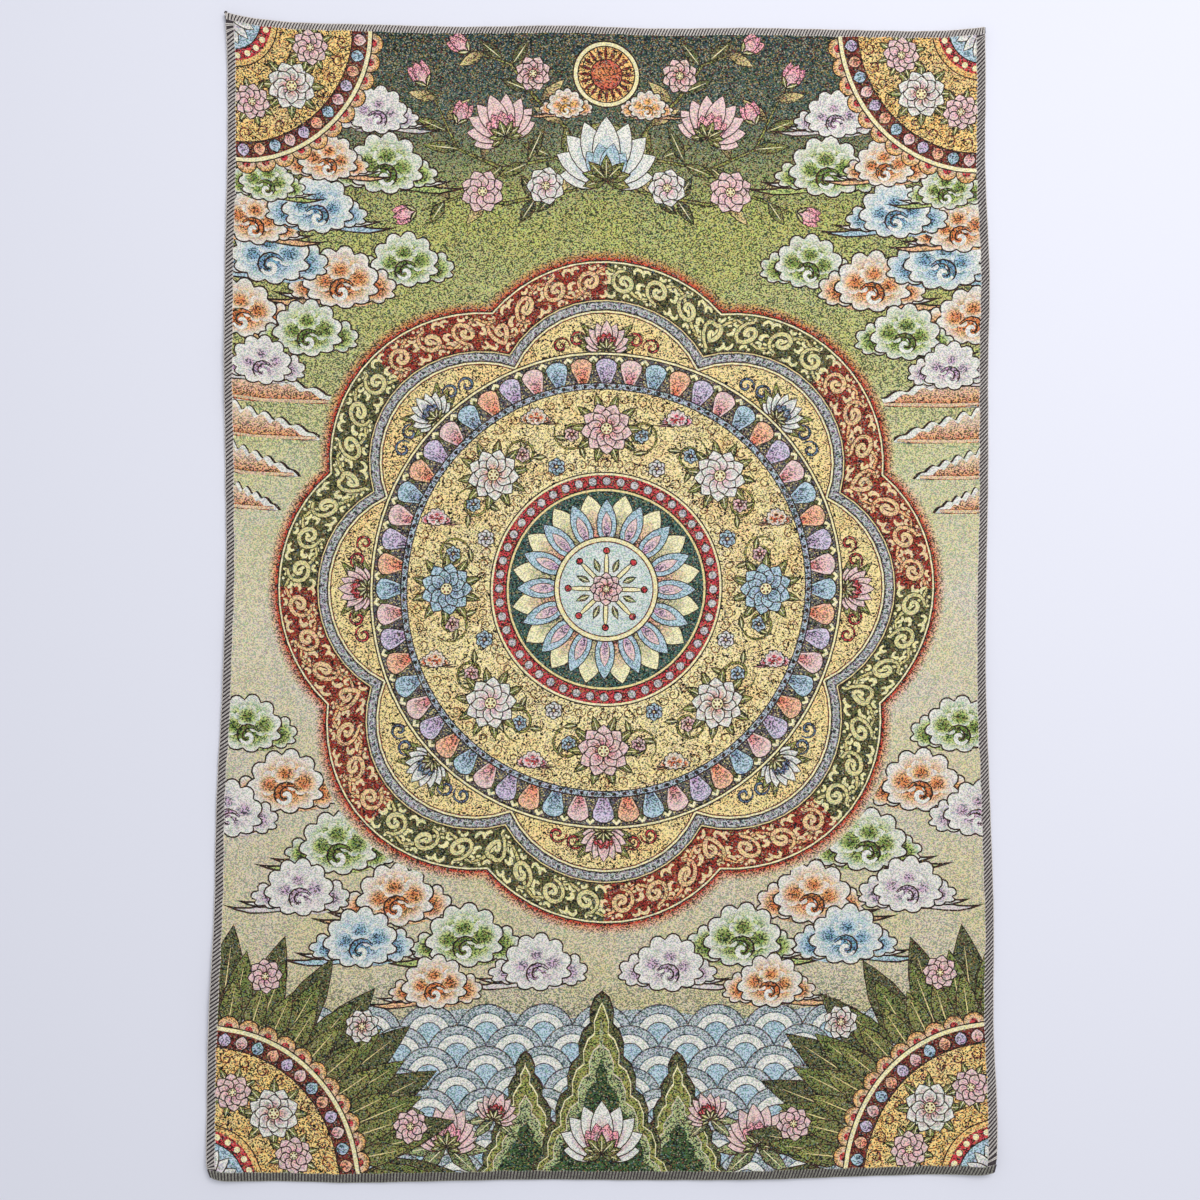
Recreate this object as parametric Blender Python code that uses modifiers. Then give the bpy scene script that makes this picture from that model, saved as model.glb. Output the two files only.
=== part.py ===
"""A woven thangka panel with an overlocked edge, lying face up on a flat surface.

Units are metres. X runs across the panel, Y up its picture and Z off its face, with the
origin under the middle of its outline. The cloth is worked out as it was cut, by distances
across and up the flat rectangle, and one function says where each of its points lies.
"""

import math

import bpy

MM = 0.001

# The flat cut, measured to the outside of the overlocked edge
WIDTH = 600 * MM
HEIGHT = 900 * MM

CLOTH_THICKNESS = 1.1 * MM
THREAD_WALL = 0.4 * MM
CLEARANCE = 0.3 * MM
BAND_CHAMFER = 0.4 * MM
BAND_WIDTH = {"bottom": 6.6 * MM, "right": 7.0 * MM, "top": 5.6 * MM, "left": 6.7 * MM}

# Where the cloth stops inside the band, and how high its underside lies there
EDGE_INSET = THREAD_WALL + CLEARANCE
BAND_THICKNESS = CLOTH_THICKNESS + 2 * EDGE_INSET

# The cloth leaves the band level, and comes down to the surface within the settling margin
LEVEL_MARGIN = 9 * MM
SETTLED_MARGIN = 24 * MM
STATION_PITCH = 20 * MM

# Left and right edges as they lie, in mm from the middle
# share of the height, left, right
SIDE_ROWS = (
    (0.000, -299.5, 299.0),
    (0.012, -303.0, 301.5),
    (0.050, -304.0, 303.0),
    (0.120, -303.0, 301.0),
    (0.220, -300.0, 302.0),
    (0.320, -299.0, 300.0),
    (0.420, -295.0, 297.5),
    (0.520, -293.5, 299.5),
    (0.600, -295.0, 301.5),
    (0.700, -296.5, 302.5),
    (0.780, -297.0, 304.0),
    (0.880, -296.0, 302.0),
    (0.960, -297.0, 303.0),
    (1.000, -298.5, 302.0),
)

# Bottom and top edges as they lie, in mm from the middle
# share of the width, bottom, top
LEVEL_ROWS = (
    (0.000, -451.0, 456.0),
    (0.015, -453.5, 453.5),
    (0.050, -454.5, 450.5),
    (0.110, -455.0, 448.0),
    (0.180, -456.0, 447.0),
    (0.310, -454.0, 445.0),
    (0.440, -453.5, 445.5),
    (0.560, -454.0, 443.5),
    (0.700, -453.0, 444.0),
    (0.830, -451.0, 442.0),
    (0.930, -449.5, 441.5),
    (0.985, -449.0, 442.5),
    (1.000, -447.0, 443.5),
)

# Soft places where the cloth's margin stands off the surface
# share of the width, share of the height, reach across, reach up, height in mm
LIFTS = (
    (0.00, 0.00, 48, 44, 3.4),
    (0.00, 0.14, 40, 85, 2.6),
    (0.00, 0.44, 30, 70, 1.2),
    (0.00, 0.69, 36, 80, 2.4),
    (0.00, 1.00, 60, 46, 2.2),
    (0.46, 1.00, 95, 28, 1.1),
    (0.81, 1.00, 60, 26, 0.8),
    (1.00, 1.00, 46, 40, 2.6),
    (1.00, 0.77, 34, 75, 1.4),
    (1.00, 0.41, 32, 95, 1.8),
    (1.00, 0.00, 52, 48, 3.8),
    (0.71, 0.00, 90, 30, 1.7),
    (0.30, 0.00, 75, 28, 1.3),
)

CLOTH_COLOUR = (0.30, 0.26, 0.13, 1)
THREAD_COLOUR = (0.19, 0.17, 0.16, 1)


def through(rows, column, share):
    """The value in a table's column at a share of its first column, on a smooth curve."""
    after = next((i for i, row in enumerate(rows) if row[0] >= share), len(rows) - 1)
    after = max(after, 1)
    before = after - 1
    start = rows[before]
    end = rows[after]
    length = end[0] - start[0]

    def slope(index):
        low = rows[max(index - 1, 0)]
        high = rows[min(index + 1, len(rows) - 1)]
        return (high[column] - low[column]) / (high[0] - low[0])

    t = (share - start[0]) / length
    return (
        start[column] * (2 * t**3 - 3 * t**2 + 1)
        + slope(before) * length * (t**3 - 2 * t**2 + t)
        + end[column] * (3 * t**2 - 2 * t**3)
        + slope(after) * length * (t**3 - t**2)
    )


def swell(distance, reach):
    """1 over the middle of a lifted place, falling softly to 0 at its reach."""
    if abs(distance) >= reach:
        return 0.0
    return math.cos(math.pi / 2 * distance / reach) ** 2


def lift(across, up):
    """How far the cloth stands off the surface at a point of the flat cut."""
    height = 0.0
    for at_width, at_height, reach_across, reach_up, most in LIFTS:
        height += (
            most * MM
            * swell(across - at_width * WIDTH, reach_across * MM)
            * swell(up - at_height * HEIGHT, reach_up * MM)
        )
    return height


def lying(across, up, height):
    """Where a point of the flat cut lies, at a height over the surface or over the lift there."""
    share_across = across / WIDTH
    share_up = up / HEIGHT
    left = through(SIDE_ROWS, 1, share_up)
    right = through(SIDE_ROWS, 2, share_up)
    bottom = through(LEVEL_ROWS, 1, share_across)
    top = through(LEVEL_ROWS, 2, share_across)
    return (
        (left + (right - left) * share_across) * MM,
        (bottom + (top - bottom) * share_up) * MM,
        height + lift(across, up),
    )


def stations(length):
    """Distances along a side that the cloth and the band share, finer near the corners."""
    steps = round((length - 2 * SETTLED_MARGIN) / STATION_PITCH)
    pitch = (length - 2 * SETTLED_MARGIN) / steps
    middle = [SETTLED_MARGIN + pitch * step for step in range(steps + 1)]
    return [LEVEL_MARGIN] + middle + [length - LEVEL_MARGIN]


def underside(across, up):
    """The underside's height: flat on the surface, and raised where the band goes under it."""
    inwards = min(across, up, WIDTH - across, HEIGHT - up)
    if inwards >= SETTLED_MARGIN:
        return 0.0
    return EDGE_INSET


def shaped_grid(name, columns, rows, spot):
    """A grid primitive whose crossings are moved to spot(column, row)."""
    bpy.ops.mesh.primitive_grid_add(
        x_subdivisions=len(columns) - 1, y_subdivisions=len(rows) - 1, size=1
    )
    piece = bpy.context.object
    piece.name = name
    piece.data.name = name
    for vertex in piece.data.vertices:
        column = columns[round((vertex.co.x + 0.5) * (len(columns) - 1))]
        row = rows[round((vertex.co.y + 0.5) * (len(rows) - 1))]
        vertex.co = spot(column, row)
    return piece


def thicken(piece, thickness, side):
    """Gives an open surface its thickness, to one side of it: 1 above its faces, -1 behind."""
    wall = piece.modifiers.new("thickness", "SOLIDIFY")
    wall.thickness = thickness
    wall.offset = side
    wall.use_even_offset = True


def make_cloth():
    """The woven panel, one sheet whose edges end inside the overlocked band."""

    def whole_side(length):
        return [EDGE_INSET] + stations(length) + [length - EDGE_INSET]

    def spot(across, up):
        return lying(across, up, underside(across, up))

    cloth = shaped_grid("cloth", whole_side(WIDTH), whole_side(HEIGHT), spot)
    thicken(cloth, CLOTH_THICKNESS, 1)
    return cloth


def on_side(side, along, inset):
    """The flat cut's across and up at a distance along a side, walking anticlockwise."""
    return {
        "bottom": (along, inset),
        "right": (WIDTH - inset, along),
        "top": (WIDTH - along, HEIGHT - inset),
        "left": (inset, HEIGHT - along),
    }[side]


def make_edging(side):
    """The band of overlock thread on one side, folded round the cloth's edge."""
    band = BAND_WIDTH[side]
    # inset from the outside of the edge, height over the surface
    profile = [
        (band, 0),
        (BAND_CHAMFER, 0),
        (0, BAND_CHAMFER),
        (0, BAND_THICKNESS - BAND_CHAMFER),
        (BAND_CHAMFER, BAND_THICKNESS),
        (band, BAND_THICKNESS),
    ]
    if side in ("bottom", "top"):
        # These run from corner to corner
        run = [0] + stations(WIDTH) + [WIDTH]
    else:
        # The side bands stop just short of the other two
        start, end = ("bottom", "top") if side == "right" else ("top", "bottom")
        first = BAND_WIDTH[start] + CLEARANCE
        last = HEIGHT - BAND_WIDTH[end] - CLEARANCE
        run = [first] + stations(HEIGHT) + [last]

    def spot(along, point):
        inset, height = point
        across, up = on_side(side, along, inset)
        return lying(across, up, height)

    edging = shaped_grid("edging_" + side, run, profile, spot)
    thicken(edging, THREAD_WALL, -1)
    return edging


def material(name, colour, roughness):
    """A plain cloth or thread finish."""
    finish = bpy.data.materials.new(name)
    finish.use_nodes = True
    shader = finish.node_tree.nodes["Principled BSDF"]
    shader.inputs["Base Color"].default_value = colour
    shader.inputs["Roughness"].default_value = roughness
    shader.inputs["Metallic"].default_value = 0
    return finish


def main():
    for old in list(bpy.data.objects):
        bpy.data.objects.remove(old)
    panel = bpy.data.collections.new("woven_thangka_panel")
    bpy.context.scene.collection.children.link(panel)

    woven = material("woven_brocade", CLOTH_COLOUR, 0.75)
    thread = material("overlock_thread", THREAD_COLOUR, 0.85)
    pieces = [(make_cloth(), woven)]
    pieces += [(make_edging(side), thread) for side in BAND_WIDTH]

    for piece, finish in pieces:
        piece.data.materials.append(finish)
        for collection in list(piece.users_collection):
            collection.objects.unlink(piece)
        panel.objects.link(piece)


main()
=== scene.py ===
"""The looks of a woven thangka panel: figured cloth with an overlocked edge, lying face up.

Lengths are metres, except in the drawing of the figure, which is worked out in millimetres
from the middle of the panel. X runs across the panel, Y up its picture and Z off its face.
"""

import math

import bpy
import numpy as np
from mathutils.bvhtree import BVHTree
from mathutils.geometry import delaunay_2d_cdt
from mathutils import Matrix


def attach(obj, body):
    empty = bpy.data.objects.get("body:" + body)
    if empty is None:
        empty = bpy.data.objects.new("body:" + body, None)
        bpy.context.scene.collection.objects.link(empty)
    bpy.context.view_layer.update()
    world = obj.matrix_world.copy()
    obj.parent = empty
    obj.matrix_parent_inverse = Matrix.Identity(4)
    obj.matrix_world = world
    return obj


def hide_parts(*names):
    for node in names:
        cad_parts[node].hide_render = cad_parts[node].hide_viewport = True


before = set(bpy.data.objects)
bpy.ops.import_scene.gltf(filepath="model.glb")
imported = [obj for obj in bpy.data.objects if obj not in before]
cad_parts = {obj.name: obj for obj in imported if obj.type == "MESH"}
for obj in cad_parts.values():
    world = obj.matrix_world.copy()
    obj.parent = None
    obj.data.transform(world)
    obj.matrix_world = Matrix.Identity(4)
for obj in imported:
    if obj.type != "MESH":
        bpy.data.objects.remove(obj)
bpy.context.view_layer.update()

MM = 0.001

# The flat cut, measured to the outside of the overlocked edge
WIDTH = 600 * MM
HEIGHT = 900 * MM

CLOTH_THICKNESS = 1.1 * MM
EDGE_INSET = 0.7 * MM
BAND_WIDTH = {"bottom": 6.6 * MM, "right": 7.0 * MM, "top": 5.6 * MM, "left": 6.7 * MM}
LEVEL_MARGIN = 9 * MM
SETTLED_MARGIN = 24 * MM

# Left and right edges as they lie, in mm from the middle
# share of the height, left, right
SIDE_ROWS = (
    (0.000, -299.5, 299.0),
    (0.012, -303.0, 301.5),
    (0.050, -304.0, 303.0),
    (0.120, -303.0, 301.0),
    (0.220, -300.0, 302.0),
    (0.320, -299.0, 300.0),
    (0.420, -295.0, 297.5),
    (0.520, -293.5, 299.5),
    (0.600, -295.0, 301.5),
    (0.700, -296.5, 302.5),
    (0.780, -297.0, 304.0),
    (0.880, -296.0, 302.0),
    (0.960, -297.0, 303.0),
    (1.000, -298.5, 302.0),
)

# Bottom and top edges as they lie, in mm from the middle
# share of the width, bottom, top
LEVEL_ROWS = (
    (0.000, -451.0, 456.0),
    (0.015, -453.5, 453.5),
    (0.050, -454.5, 450.5),
    (0.110, -455.0, 448.0),
    (0.180, -456.0, 447.0),
    (0.310, -454.0, 445.0),
    (0.440, -453.5, 445.5),
    (0.560, -454.0, 443.5),
    (0.700, -453.0, 444.0),
    (0.830, -451.0, 442.0),
    (0.930, -449.5, 441.5),
    (0.985, -449.0, 442.5),
    (1.000, -447.0, 443.5),
)

# Soft places where the cloth stands off the surface: at the margins as in the solids,
# then the slight ridges that run over the middle
# share of the width, share of the height, reach across, reach up, height in mm
LIFTS = (
    (0.00, 0.00, 48, 44, 3.4),
    (0.00, 0.14, 40, 85, 2.6),
    (0.00, 0.44, 30, 70, 1.2),
    (0.00, 0.69, 36, 80, 2.4),
    (0.00, 1.00, 60, 46, 2.2),
    (0.46, 1.00, 95, 28, 1.1),
    (0.81, 1.00, 60, 26, 0.8),
    (1.00, 1.00, 46, 40, 2.6),
    (1.00, 0.77, 34, 75, 1.4),
    (1.00, 0.41, 32, 95, 1.8),
    (1.00, 0.00, 52, 48, 3.8),
    (0.71, 0.00, 90, 30, 1.7),
    (0.30, 0.00, 75, 28, 1.3),
    (0.13, 0.30, 55, 190, 0.7),
    (0.37, 0.62, 60, 260, 0.5),
    (0.64, 0.27, 48, 210, 0.6),
    (0.88, 0.60, 52, 230, 0.7),
    (0.55, 0.90, 170, 50, 0.5),
)

# The overlocker draws the edge up into a fine ripple, whose length wanders along the edge
RIPPLE_HEIGHT = 0.4 * MM
RIPPLE_LENGTH = 33 * MM
RIPPLE_REACH = 26 * MM
RIPPLE_WANDER = 0.07


def linear(colour):
    """The linear red, green and blue of an sRGB hex colour."""
    shares = [int(colour[i : i + 2], 16) / 255 for i in (1, 3, 5)]
    return tuple(s / 12.92 if s <= 0.04045 else ((s + 0.055) / 1.055) ** 2.4 for s in shares)


# How the cloth lies

def through(rows, column, share):
    """A table's column at shares of its first column, on a smooth curve."""
    table = np.array(rows)
    at = table[:, 0]
    value = table[:, column]
    last = len(at) - 1
    low = np.maximum(np.arange(last + 1) - 1, 0)
    high = np.minimum(np.arange(last + 1) + 1, last)
    slope = (value[high] - value[low]) / (at[high] - at[low])
    after = np.clip(np.searchsorted(at, share), 1, last)
    before = after - 1
    length = at[after] - at[before]
    t = (share - at[before]) / length
    return (
        value[before] * (2 * t**3 - 3 * t**2 + 1)
        + slope[before] * length * (t**3 - 2 * t**2 + t)
        + value[after] * (3 * t**2 - 2 * t**3)
        + slope[after] * length * (t**3 - t**2)
    )


def swell(distance, reach):
    """1 over the middle of a lifted place, falling softly to 0 at its reach."""
    return np.where(np.abs(distance) < reach, np.cos(np.pi / 2 * distance / reach) ** 2, 0)


def lift(across, up):
    """How far the cloth stands off the surface at points of the flat cut."""
    height = np.zeros_like(across)
    for at_width, at_height, reach_across, reach_up, most in LIFTS:
        height += (
            most * MM
            * swell(across - at_width * WIDTH, reach_across * MM)
            * swell(up - at_height * HEIGHT, reach_up * MM)
        )
    for along, inwards in (
        (up, np.minimum(across, WIDTH - across)),
        (across, np.minimum(up, HEIGHT - up)),
    ):
        wave = 0.5 + 0.5 * np.sin(math.tau * along / RIPPLE_LENGTH + 2 * np.sin(along / RIPPLE_WANDER))
        height += RIPPLE_HEIGHT * wave * swell(inwards, RIPPLE_REACH)
    return height


def lying(across, up, height):
    """Where points of the flat cut lie, at a height over the surface or over the lift there."""
    share_across = across / WIDTH
    share_up = up / HEIGHT
    left = through(SIDE_ROWS, 1, share_up)
    right = through(SIDE_ROWS, 2, share_up)
    bottom = through(LEVEL_ROWS, 1, share_across)
    top = through(LEVEL_ROWS, 2, share_across)
    return np.stack(
        (
            (left + (right - left) * share_across) * MM,
            (bottom + (top - bottom) * share_up) * MM,
            height + lift(across, up),
        ),
        axis=1,
    )


def underside(across, up):
    """The underside's height: flat on the surface, and raised where the band goes under it."""
    inwards = np.minimum.reduce((across, up, WIDTH - across, HEIGHT - up))
    t = np.clip((SETTLED_MARGIN - inwards) / (SETTLED_MARGIN - LEVEL_MARGIN), 0, 1)
    return EDGE_INSET * t**2 * (3 - 2 * t)


# The figure, drawn as outlines laid one over another, in mm from the middle of the panel

INK = "#33231c"
GOLD = "#ecd294"
GOLD_LIGHT = "#f6eabd"
ORANGE_GOLD = "#d89d58"
CRIMSON = "#a5333a"
BRICK = "#bd5a3c"
MAROON = "#632722"
CREAM = "#dccdb2"
WHITE = "#ebe6dc"
SKY_BLUE = "#a9c4ce"
DEEP_BLUE = "#4a6483"
SLATE = "#888c90"
SLATE_DARK = "#4d5058"
LAVENDER = "#a697b0"
PINK = "#da929c"
PINK_LIGHT = "#edcbc6"
PEACH = "#dda780"
LEAF = "#7f8748"
LEAF_DARK = "#4a5233"
MOSS = "#484c2e"
CLOUD_GREEN = "#8f9f72"
WATER = "#a6b3b6"

# Half the panel's width and height, in mm
HALF_WIDE = 300
HALF_TALL = 450

# Width of the inked line round a shape
LINE = 0.9

# How much other wefts come up through a shape, where it isn't the ground or a drawn line
MINGLED = 0.5

shapes = []


def lay(outline, paint):
    """Lays one shape over those before it. Its paint is a plain colour, or gives one at each place."""
    shapes.append((outline, yarn(paint) if isinstance(paint, str) else paint))


def yarn(colour, gilt=0.0, tracery=0.0):
    """One colour all over. gilt is its share of gold thread, tracery that of fine scrolling."""
    thread = (*linear(colour), gilt, tracery, 0.1 if colour == INK else MINGLED)
    return lambda x, y: thread


def blend(first, second, share, gilt, tracery, mingled=MINGLED):
    """Two colours mixed by a share, with what else a shape's paint says."""
    share = min(max(share, 0.0), 1.0)
    return (*(a + (b - a) * share for a, b in zip(first[:3], second[:3])), gilt, tracery, mingled)


def shaded(middle, rim, x0, y0, reach, gilt=0.0, tracery=0.0, start=0.0):
    """One colour at a place that turns to another between a start and a reach from it."""
    first = linear(middle)
    second = linear(rim)

    def paint(x, y):
        return blend(first, second, (math.hypot(x - x0, y - y0) - start) / (reach - start), gilt, tracery)

    return paint


def graded(rows, measure, mingled=MINGLED):
    """Colours that melt into one another: rows of a measure and the colour where it is reached."""
    reached = [at for at, colour in rows]
    channels = list(zip(*(linear(colour) for at, colour in rows)))

    def paint(x, y):
        at = measure(x, y)
        return (*(float(np.interp(at, reached, channel)) for channel in channels), 0, 0, mingled)

    return paint


def upwards(x, y):
    """The measure of what changes up the panel."""
    return y


def polar(x, y, radius, angle):
    """The point at a radius and an angle from x, y."""
    return (x + radius * math.cos(angle), y + radius * math.sin(angle))


def around(count, start=0.0):
    """The angles of even steps round a turn."""
    return [start + math.tau * step / count for step in range(count)]


def turned(points, x, y, angle):
    """Points about the origin, turned by an angle and moved to x, y."""
    c = math.cos(angle)
    s = math.sin(angle)
    return [(x + u * c - v * s, y + u * s + v * c) for u, v in points]


def disc(x, y, radius):
    """A round outline, with more points the larger it is."""
    steps = max(9, min(84, round(7 + radius * 0.9)))
    return [polar(x, y, radius, angle) for angle in around(steps)]


def discs(x, y, *rows):
    """Discs one over another about x, y, as rows of radius and paint."""
    for radius, paint in rows:
        lay(disc(x, y, radius), paint)


def inset(outline, distance):
    """An anticlockwise outline drawn in by a distance."""
    drawn_in = []
    for i, (x, y) in enumerate(outline):
        back = outline[i - 1]
        ahead = outline[(i + 1) % len(outline)]
        run = (ahead[0] - back[0], ahead[1] - back[1])
        length = math.hypot(*run) or 1
        drawn_in.append((x - run[1] / length * distance, y + run[0] / length * distance))
    return drawn_in


def inked(outline, paint, line=LINE, ink=INK):
    """A shape with a dark line round it."""
    lay(outline, ink)
    lay(inset(outline, line), paint)


def stroke(path, width, ends):
    """A drawn line along a path, thinner towards its ends."""
    left = []
    right = []
    last = len(path) - 1
    for i, (x, y) in enumerate(path):
        back = path[max(i - 1, 0)]
        ahead = path[min(i + 1, last)]
        run = (ahead[0] - back[0], ahead[1] - back[1])
        length = math.hypot(*run) or 1
        half = width / 2 * (ends + (1 - ends) * math.sin(math.pi * i / last))
        left.append((x - run[1] / length * half, y + run[0] / length * half))
        right.append((x + run[1] / length * half, y - run[0] / length * half))
    return right + left[::-1]


def lines(path, *strokes):
    """Lines drawn one over another along a path, as rows of width, share at the ends, and paint."""
    for width, ends, paint in strokes:
        lay(stroke(path, width, ends), paint)


# Points of a spiral for each turn, and how far it winds in, as a share of its radius
SPIRAL_STEPS = 12
WINDS_IN = 0.86


def spiral(x, y, radius, angle, turns, hand):
    """A path that winds in from a radius; hand is 1 anticlockwise and -1 clockwise."""
    steps = round(turns * SPIRAL_STEPS)
    path = []
    for step in range(steps + 1):
        share = step / steps
        path.append(polar(x, y, radius * (1 - WINDS_IN * share), angle + hand * math.tau * turns * share))
    return path


# share of the length, share of the half width
PETAL = ((0, 0.30), (0.12, 0.64), (0.30, 0.95), (0.48, 1), (0.66, 0.88), (0.82, 0.58), (0.93, 0.26), (1, 0))
BLADE = ((0, 0.10), (0.15, 0.55), (0.38, 1), (0.65, 0.78), (0.86, 0.36), (1, 0))
SPOON = ((0, 0.42), (0.25, 0.66), (0.55, 0.95), (0.78, 1), (0.92, 0.72), (1, 0.30))


def petal(x, y, angle, length, width, form=PETAL):
    """A petal or leaf from its root at x, y."""
    right = [(share * length, -half * width / 2) for share, half in form]
    left = [(share * length, half * width / 2) for share, half in reversed(form)]
    if form[-1][1] == 0:
        left = left[1:]
    return turned(right + left, x, y, angle)


def blossom_petal(x, y, angle, length, width, tip, root, form=PETAL, line=LINE):
    """A petal with an inked edge, a pale rim and a colour that deepens to its root."""
    lay(petal(x, y, angle, length, width, form), INK)
    inner = petal(*polar(x, y, line, angle), angle, length - 2 * line, width - 2 * line, form)
    lay(inner, tip)
    core = petal(*polar(x, y, line, angle), angle, length * 0.74, width * 0.62, form)
    lay(core, shaded(root, tip, x, y, length * 0.85))


def leaf(x, y, angle, length, width, colour=LEAF, vein=GOLD_LIGHT):
    """A pointed leaf with an inked edge and a gold vein."""
    lay(petal(x, y, angle, length, width, BLADE), INK)
    inner = petal(*polar(x, y, LINE, angle), angle, length - 2.4 * LINE, width - 2 * LINE, BLADE)
    lay(inner, shaded(colour, LEAF_DARK, *polar(x, y, length, angle), length))
    lines([polar(x, y, length * share, angle) for share in (0.08, 0.4, 0.78)], (0.9, 0.35, yarn(vein, 0.6)))


def rosette(x, y, radius, petals, tip, root, start=0.0, heart=GOLD_LIGHT):
    """A blossom seen from above, in two rounds of petals."""
    broad = math.tau * radius / petals
    for angle in around(petals, start + math.pi / petals):
        blossom_petal(*polar(x, y, radius * 0.18, angle), angle, radius * 0.82, broad * 0.98, tip, root)
    for angle in around(petals, start):
        blossom_petal(*polar(x, y, radius * 0.12, angle), angle, radius * 0.62, broad * 0.74, tip, root)
    inked(disc(x, y, radius * 0.24), yarn(heart, 0.7), 0.7)
    for angle in around(6):
        lay(disc(*polar(x, y, radius * 0.13, angle), radius * 0.04 + 0.15), MAROON)


def lotus(x, y, size, angle, tip=PINK_LIGHT, root=PINK, cup=LEAF):
    """A lotus in bloom seen from the side, growing along the angle."""
    for spread, reach, broad in (
        (1.50, 0.78, 0.42), (-1.50, 0.78, 0.42), (1.12, 0.92, 0.46), (-1.12, 0.92, 0.46),
        (0.74, 0.98, 0.46), (-0.74, 0.98, 0.46), (0.37, 1.02, 0.46), (-0.37, 1.02, 0.46), (0, 1.06, 0.48),
    ):
        blossom_petal(x, y, angle + spread, size * reach, size * broad, tip, root)
    for spread, reach in ((0.62, 0.56), (-0.62, 0.56), (0.2, 0.62), (-0.2, 0.62)):
        blossom_petal(x, y, angle + spread, size * reach, size * 0.34, root, tip, line=0.7)
    for spread in (1.9, -1.9, 1.35, -1.35, 0.8, -0.8, 0):
        leaf(x, y, angle + spread, size * 0.42, size * 0.22, cup)


def bud(x, y, size, angle, tip=PINK, root=PINK_LIGHT):
    """A closed lotus bud in its green cup."""
    for spread in (0.3, -0.3, 0):
        blossom_petal(x, y, angle + spread, size, size * 0.5, tip, root, line=0.7)
    for spread in (0.75, -0.75):
        leaf(x, y, angle + spread, size * 0.5, size * 0.24)


# A cloud's height below its middle, as a share of that above
LOWER_HALF = 0.62

# A scalloped outline's lobes: how far out their middles lie, how plump they are, and how many
# points draw one
LOBES_AT = 0.74
LOBE_SWELL = 0.84
LOBE_POINTS = 5


def flatter_below(x, y, wide, tall, reaches):
    """An outline about a cloud's middle, from its reach at each angle, with a flatter lower half."""
    outline = []
    for angle, reach in reaches:
        u, v = polar(0, 0, reach, angle)
        outline.append((x + wide * u, y + tall * v * (1 if v > 0 else LOWER_HALF)))
    return outline


def scallops(lobes, turn):
    """The reach of a scalloped outline of even round lobes at angles all round it."""
    lobe = math.tau / lobes
    radius = LOBE_SWELL * math.sin(lobe / 2)
    reaches = []
    for angle in around(lobes * LOBE_POINTS, turn + lobe / (2 * LOBE_POINTS)):
        off = (angle - turn + lobe / 2) % lobe - lobe / 2
        beyond = math.sqrt(max(radius**2 - (LOBES_AT * math.sin(off)) ** 2, 0))
        reaches.append((angle, (LOBES_AT * math.cos(off) + beyond) / (LOBES_AT + radius)))
    return reaches


def puff(x, y, wide, tall, lobes, rows, turn=0.0, line=0.0):
    """A scalloped body whose white rim melts inwards: rows of the share of its reach and colour."""

    def outwards(u, v):
        return math.hypot((u - x) / wide, (v - y) / (tall if v > y else tall * LOWER_HALF))

    melted = graded(rows, outwards)
    outline = flatter_below(x, y, wide, tall, scallops(lobes, turn))
    if line:
        lay(outline, INK)
        outline = inset(outline, line)
    lay(outline, melted)
    # Two rounds of points inside it carry the colour inwards
    for share, steps in ((0.56, 11), (0.28, 7)):
        lay(flatter_below(x, y, wide, tall, [(angle, share) for angle in around(steps)]), melted)


# A cloud's bodies from back to front, as shares of its size, and where the soft ones lie in it
# across, up, half width, height, lobes
CLOUD_BODIES = (
    (-0.66, -0.04, 0.50, 0.50, 8),
    (0.68, -0.06, 0.46, 0.40, 7),
    (0.02, 0.06, 0.82, 0.84, 11),
)
CLOUD_CURLS = (
    (-0.34, 0.16, 0.34, 0.36, 7),
    (0.34, 0.10, 0.32, 0.32, 7),
    (0.04, 0.34, 0.30, 0.30, 6),
)


def cloud(x, y, size, tint, deep, flip=1):
    """A curling cloud: scalloped bodies with broad white rims, and a dark hook round a white curl."""

    def bodies(places, rows, turn=0.0, line=0.0):
        for u, v, wide, tall, lobes in places:
            puff(x + flip * u * size, y + v * size, wide * size, tall * size, lobes, rows, turn, line)

    for rise, reach in ((-0.30, 1.75), (-0.16, 1.45)):
        tail = []
        for t in np.linspace(-0.4, 1, 9):
            tail.append((x + flip * size * reach * t, y + size * (rise + 0.05 * math.sin(7 * t))))
        lines(tail, (size * 0.22, 0.02, INK))
        lines(tail[:-1], (size * 0.22 - 2 * LINE, 0.02, (WHITE, tint)[rise < -0.2]))
    bodies(CLOUD_BODIES, ((0.30, deep), (0.56, tint), (0.84, WHITE)), 0.3, 0.6 + size * 0.02)
    bodies(CLOUD_CURLS, ((0.25, deep), (0.55, tint), (0.9, WHITE)))
    eye = (x + flip * 0.02 * size, y - 0.10 * size)
    hook = spiral(*eye, 0.30 * size, math.pi / 2 + flip * 1.1, 0.8, -flip)
    lines(hook, (0.17 * size, 0.3, INK), (0.09 * size, 0.2, deep))
    white_curl = spiral(*eye, 0.17 * size, math.pi / 2 - flip * 1.9, 0.9, -flip)
    lines(white_curl, (0.10 * size, 0.5, WHITE))


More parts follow.
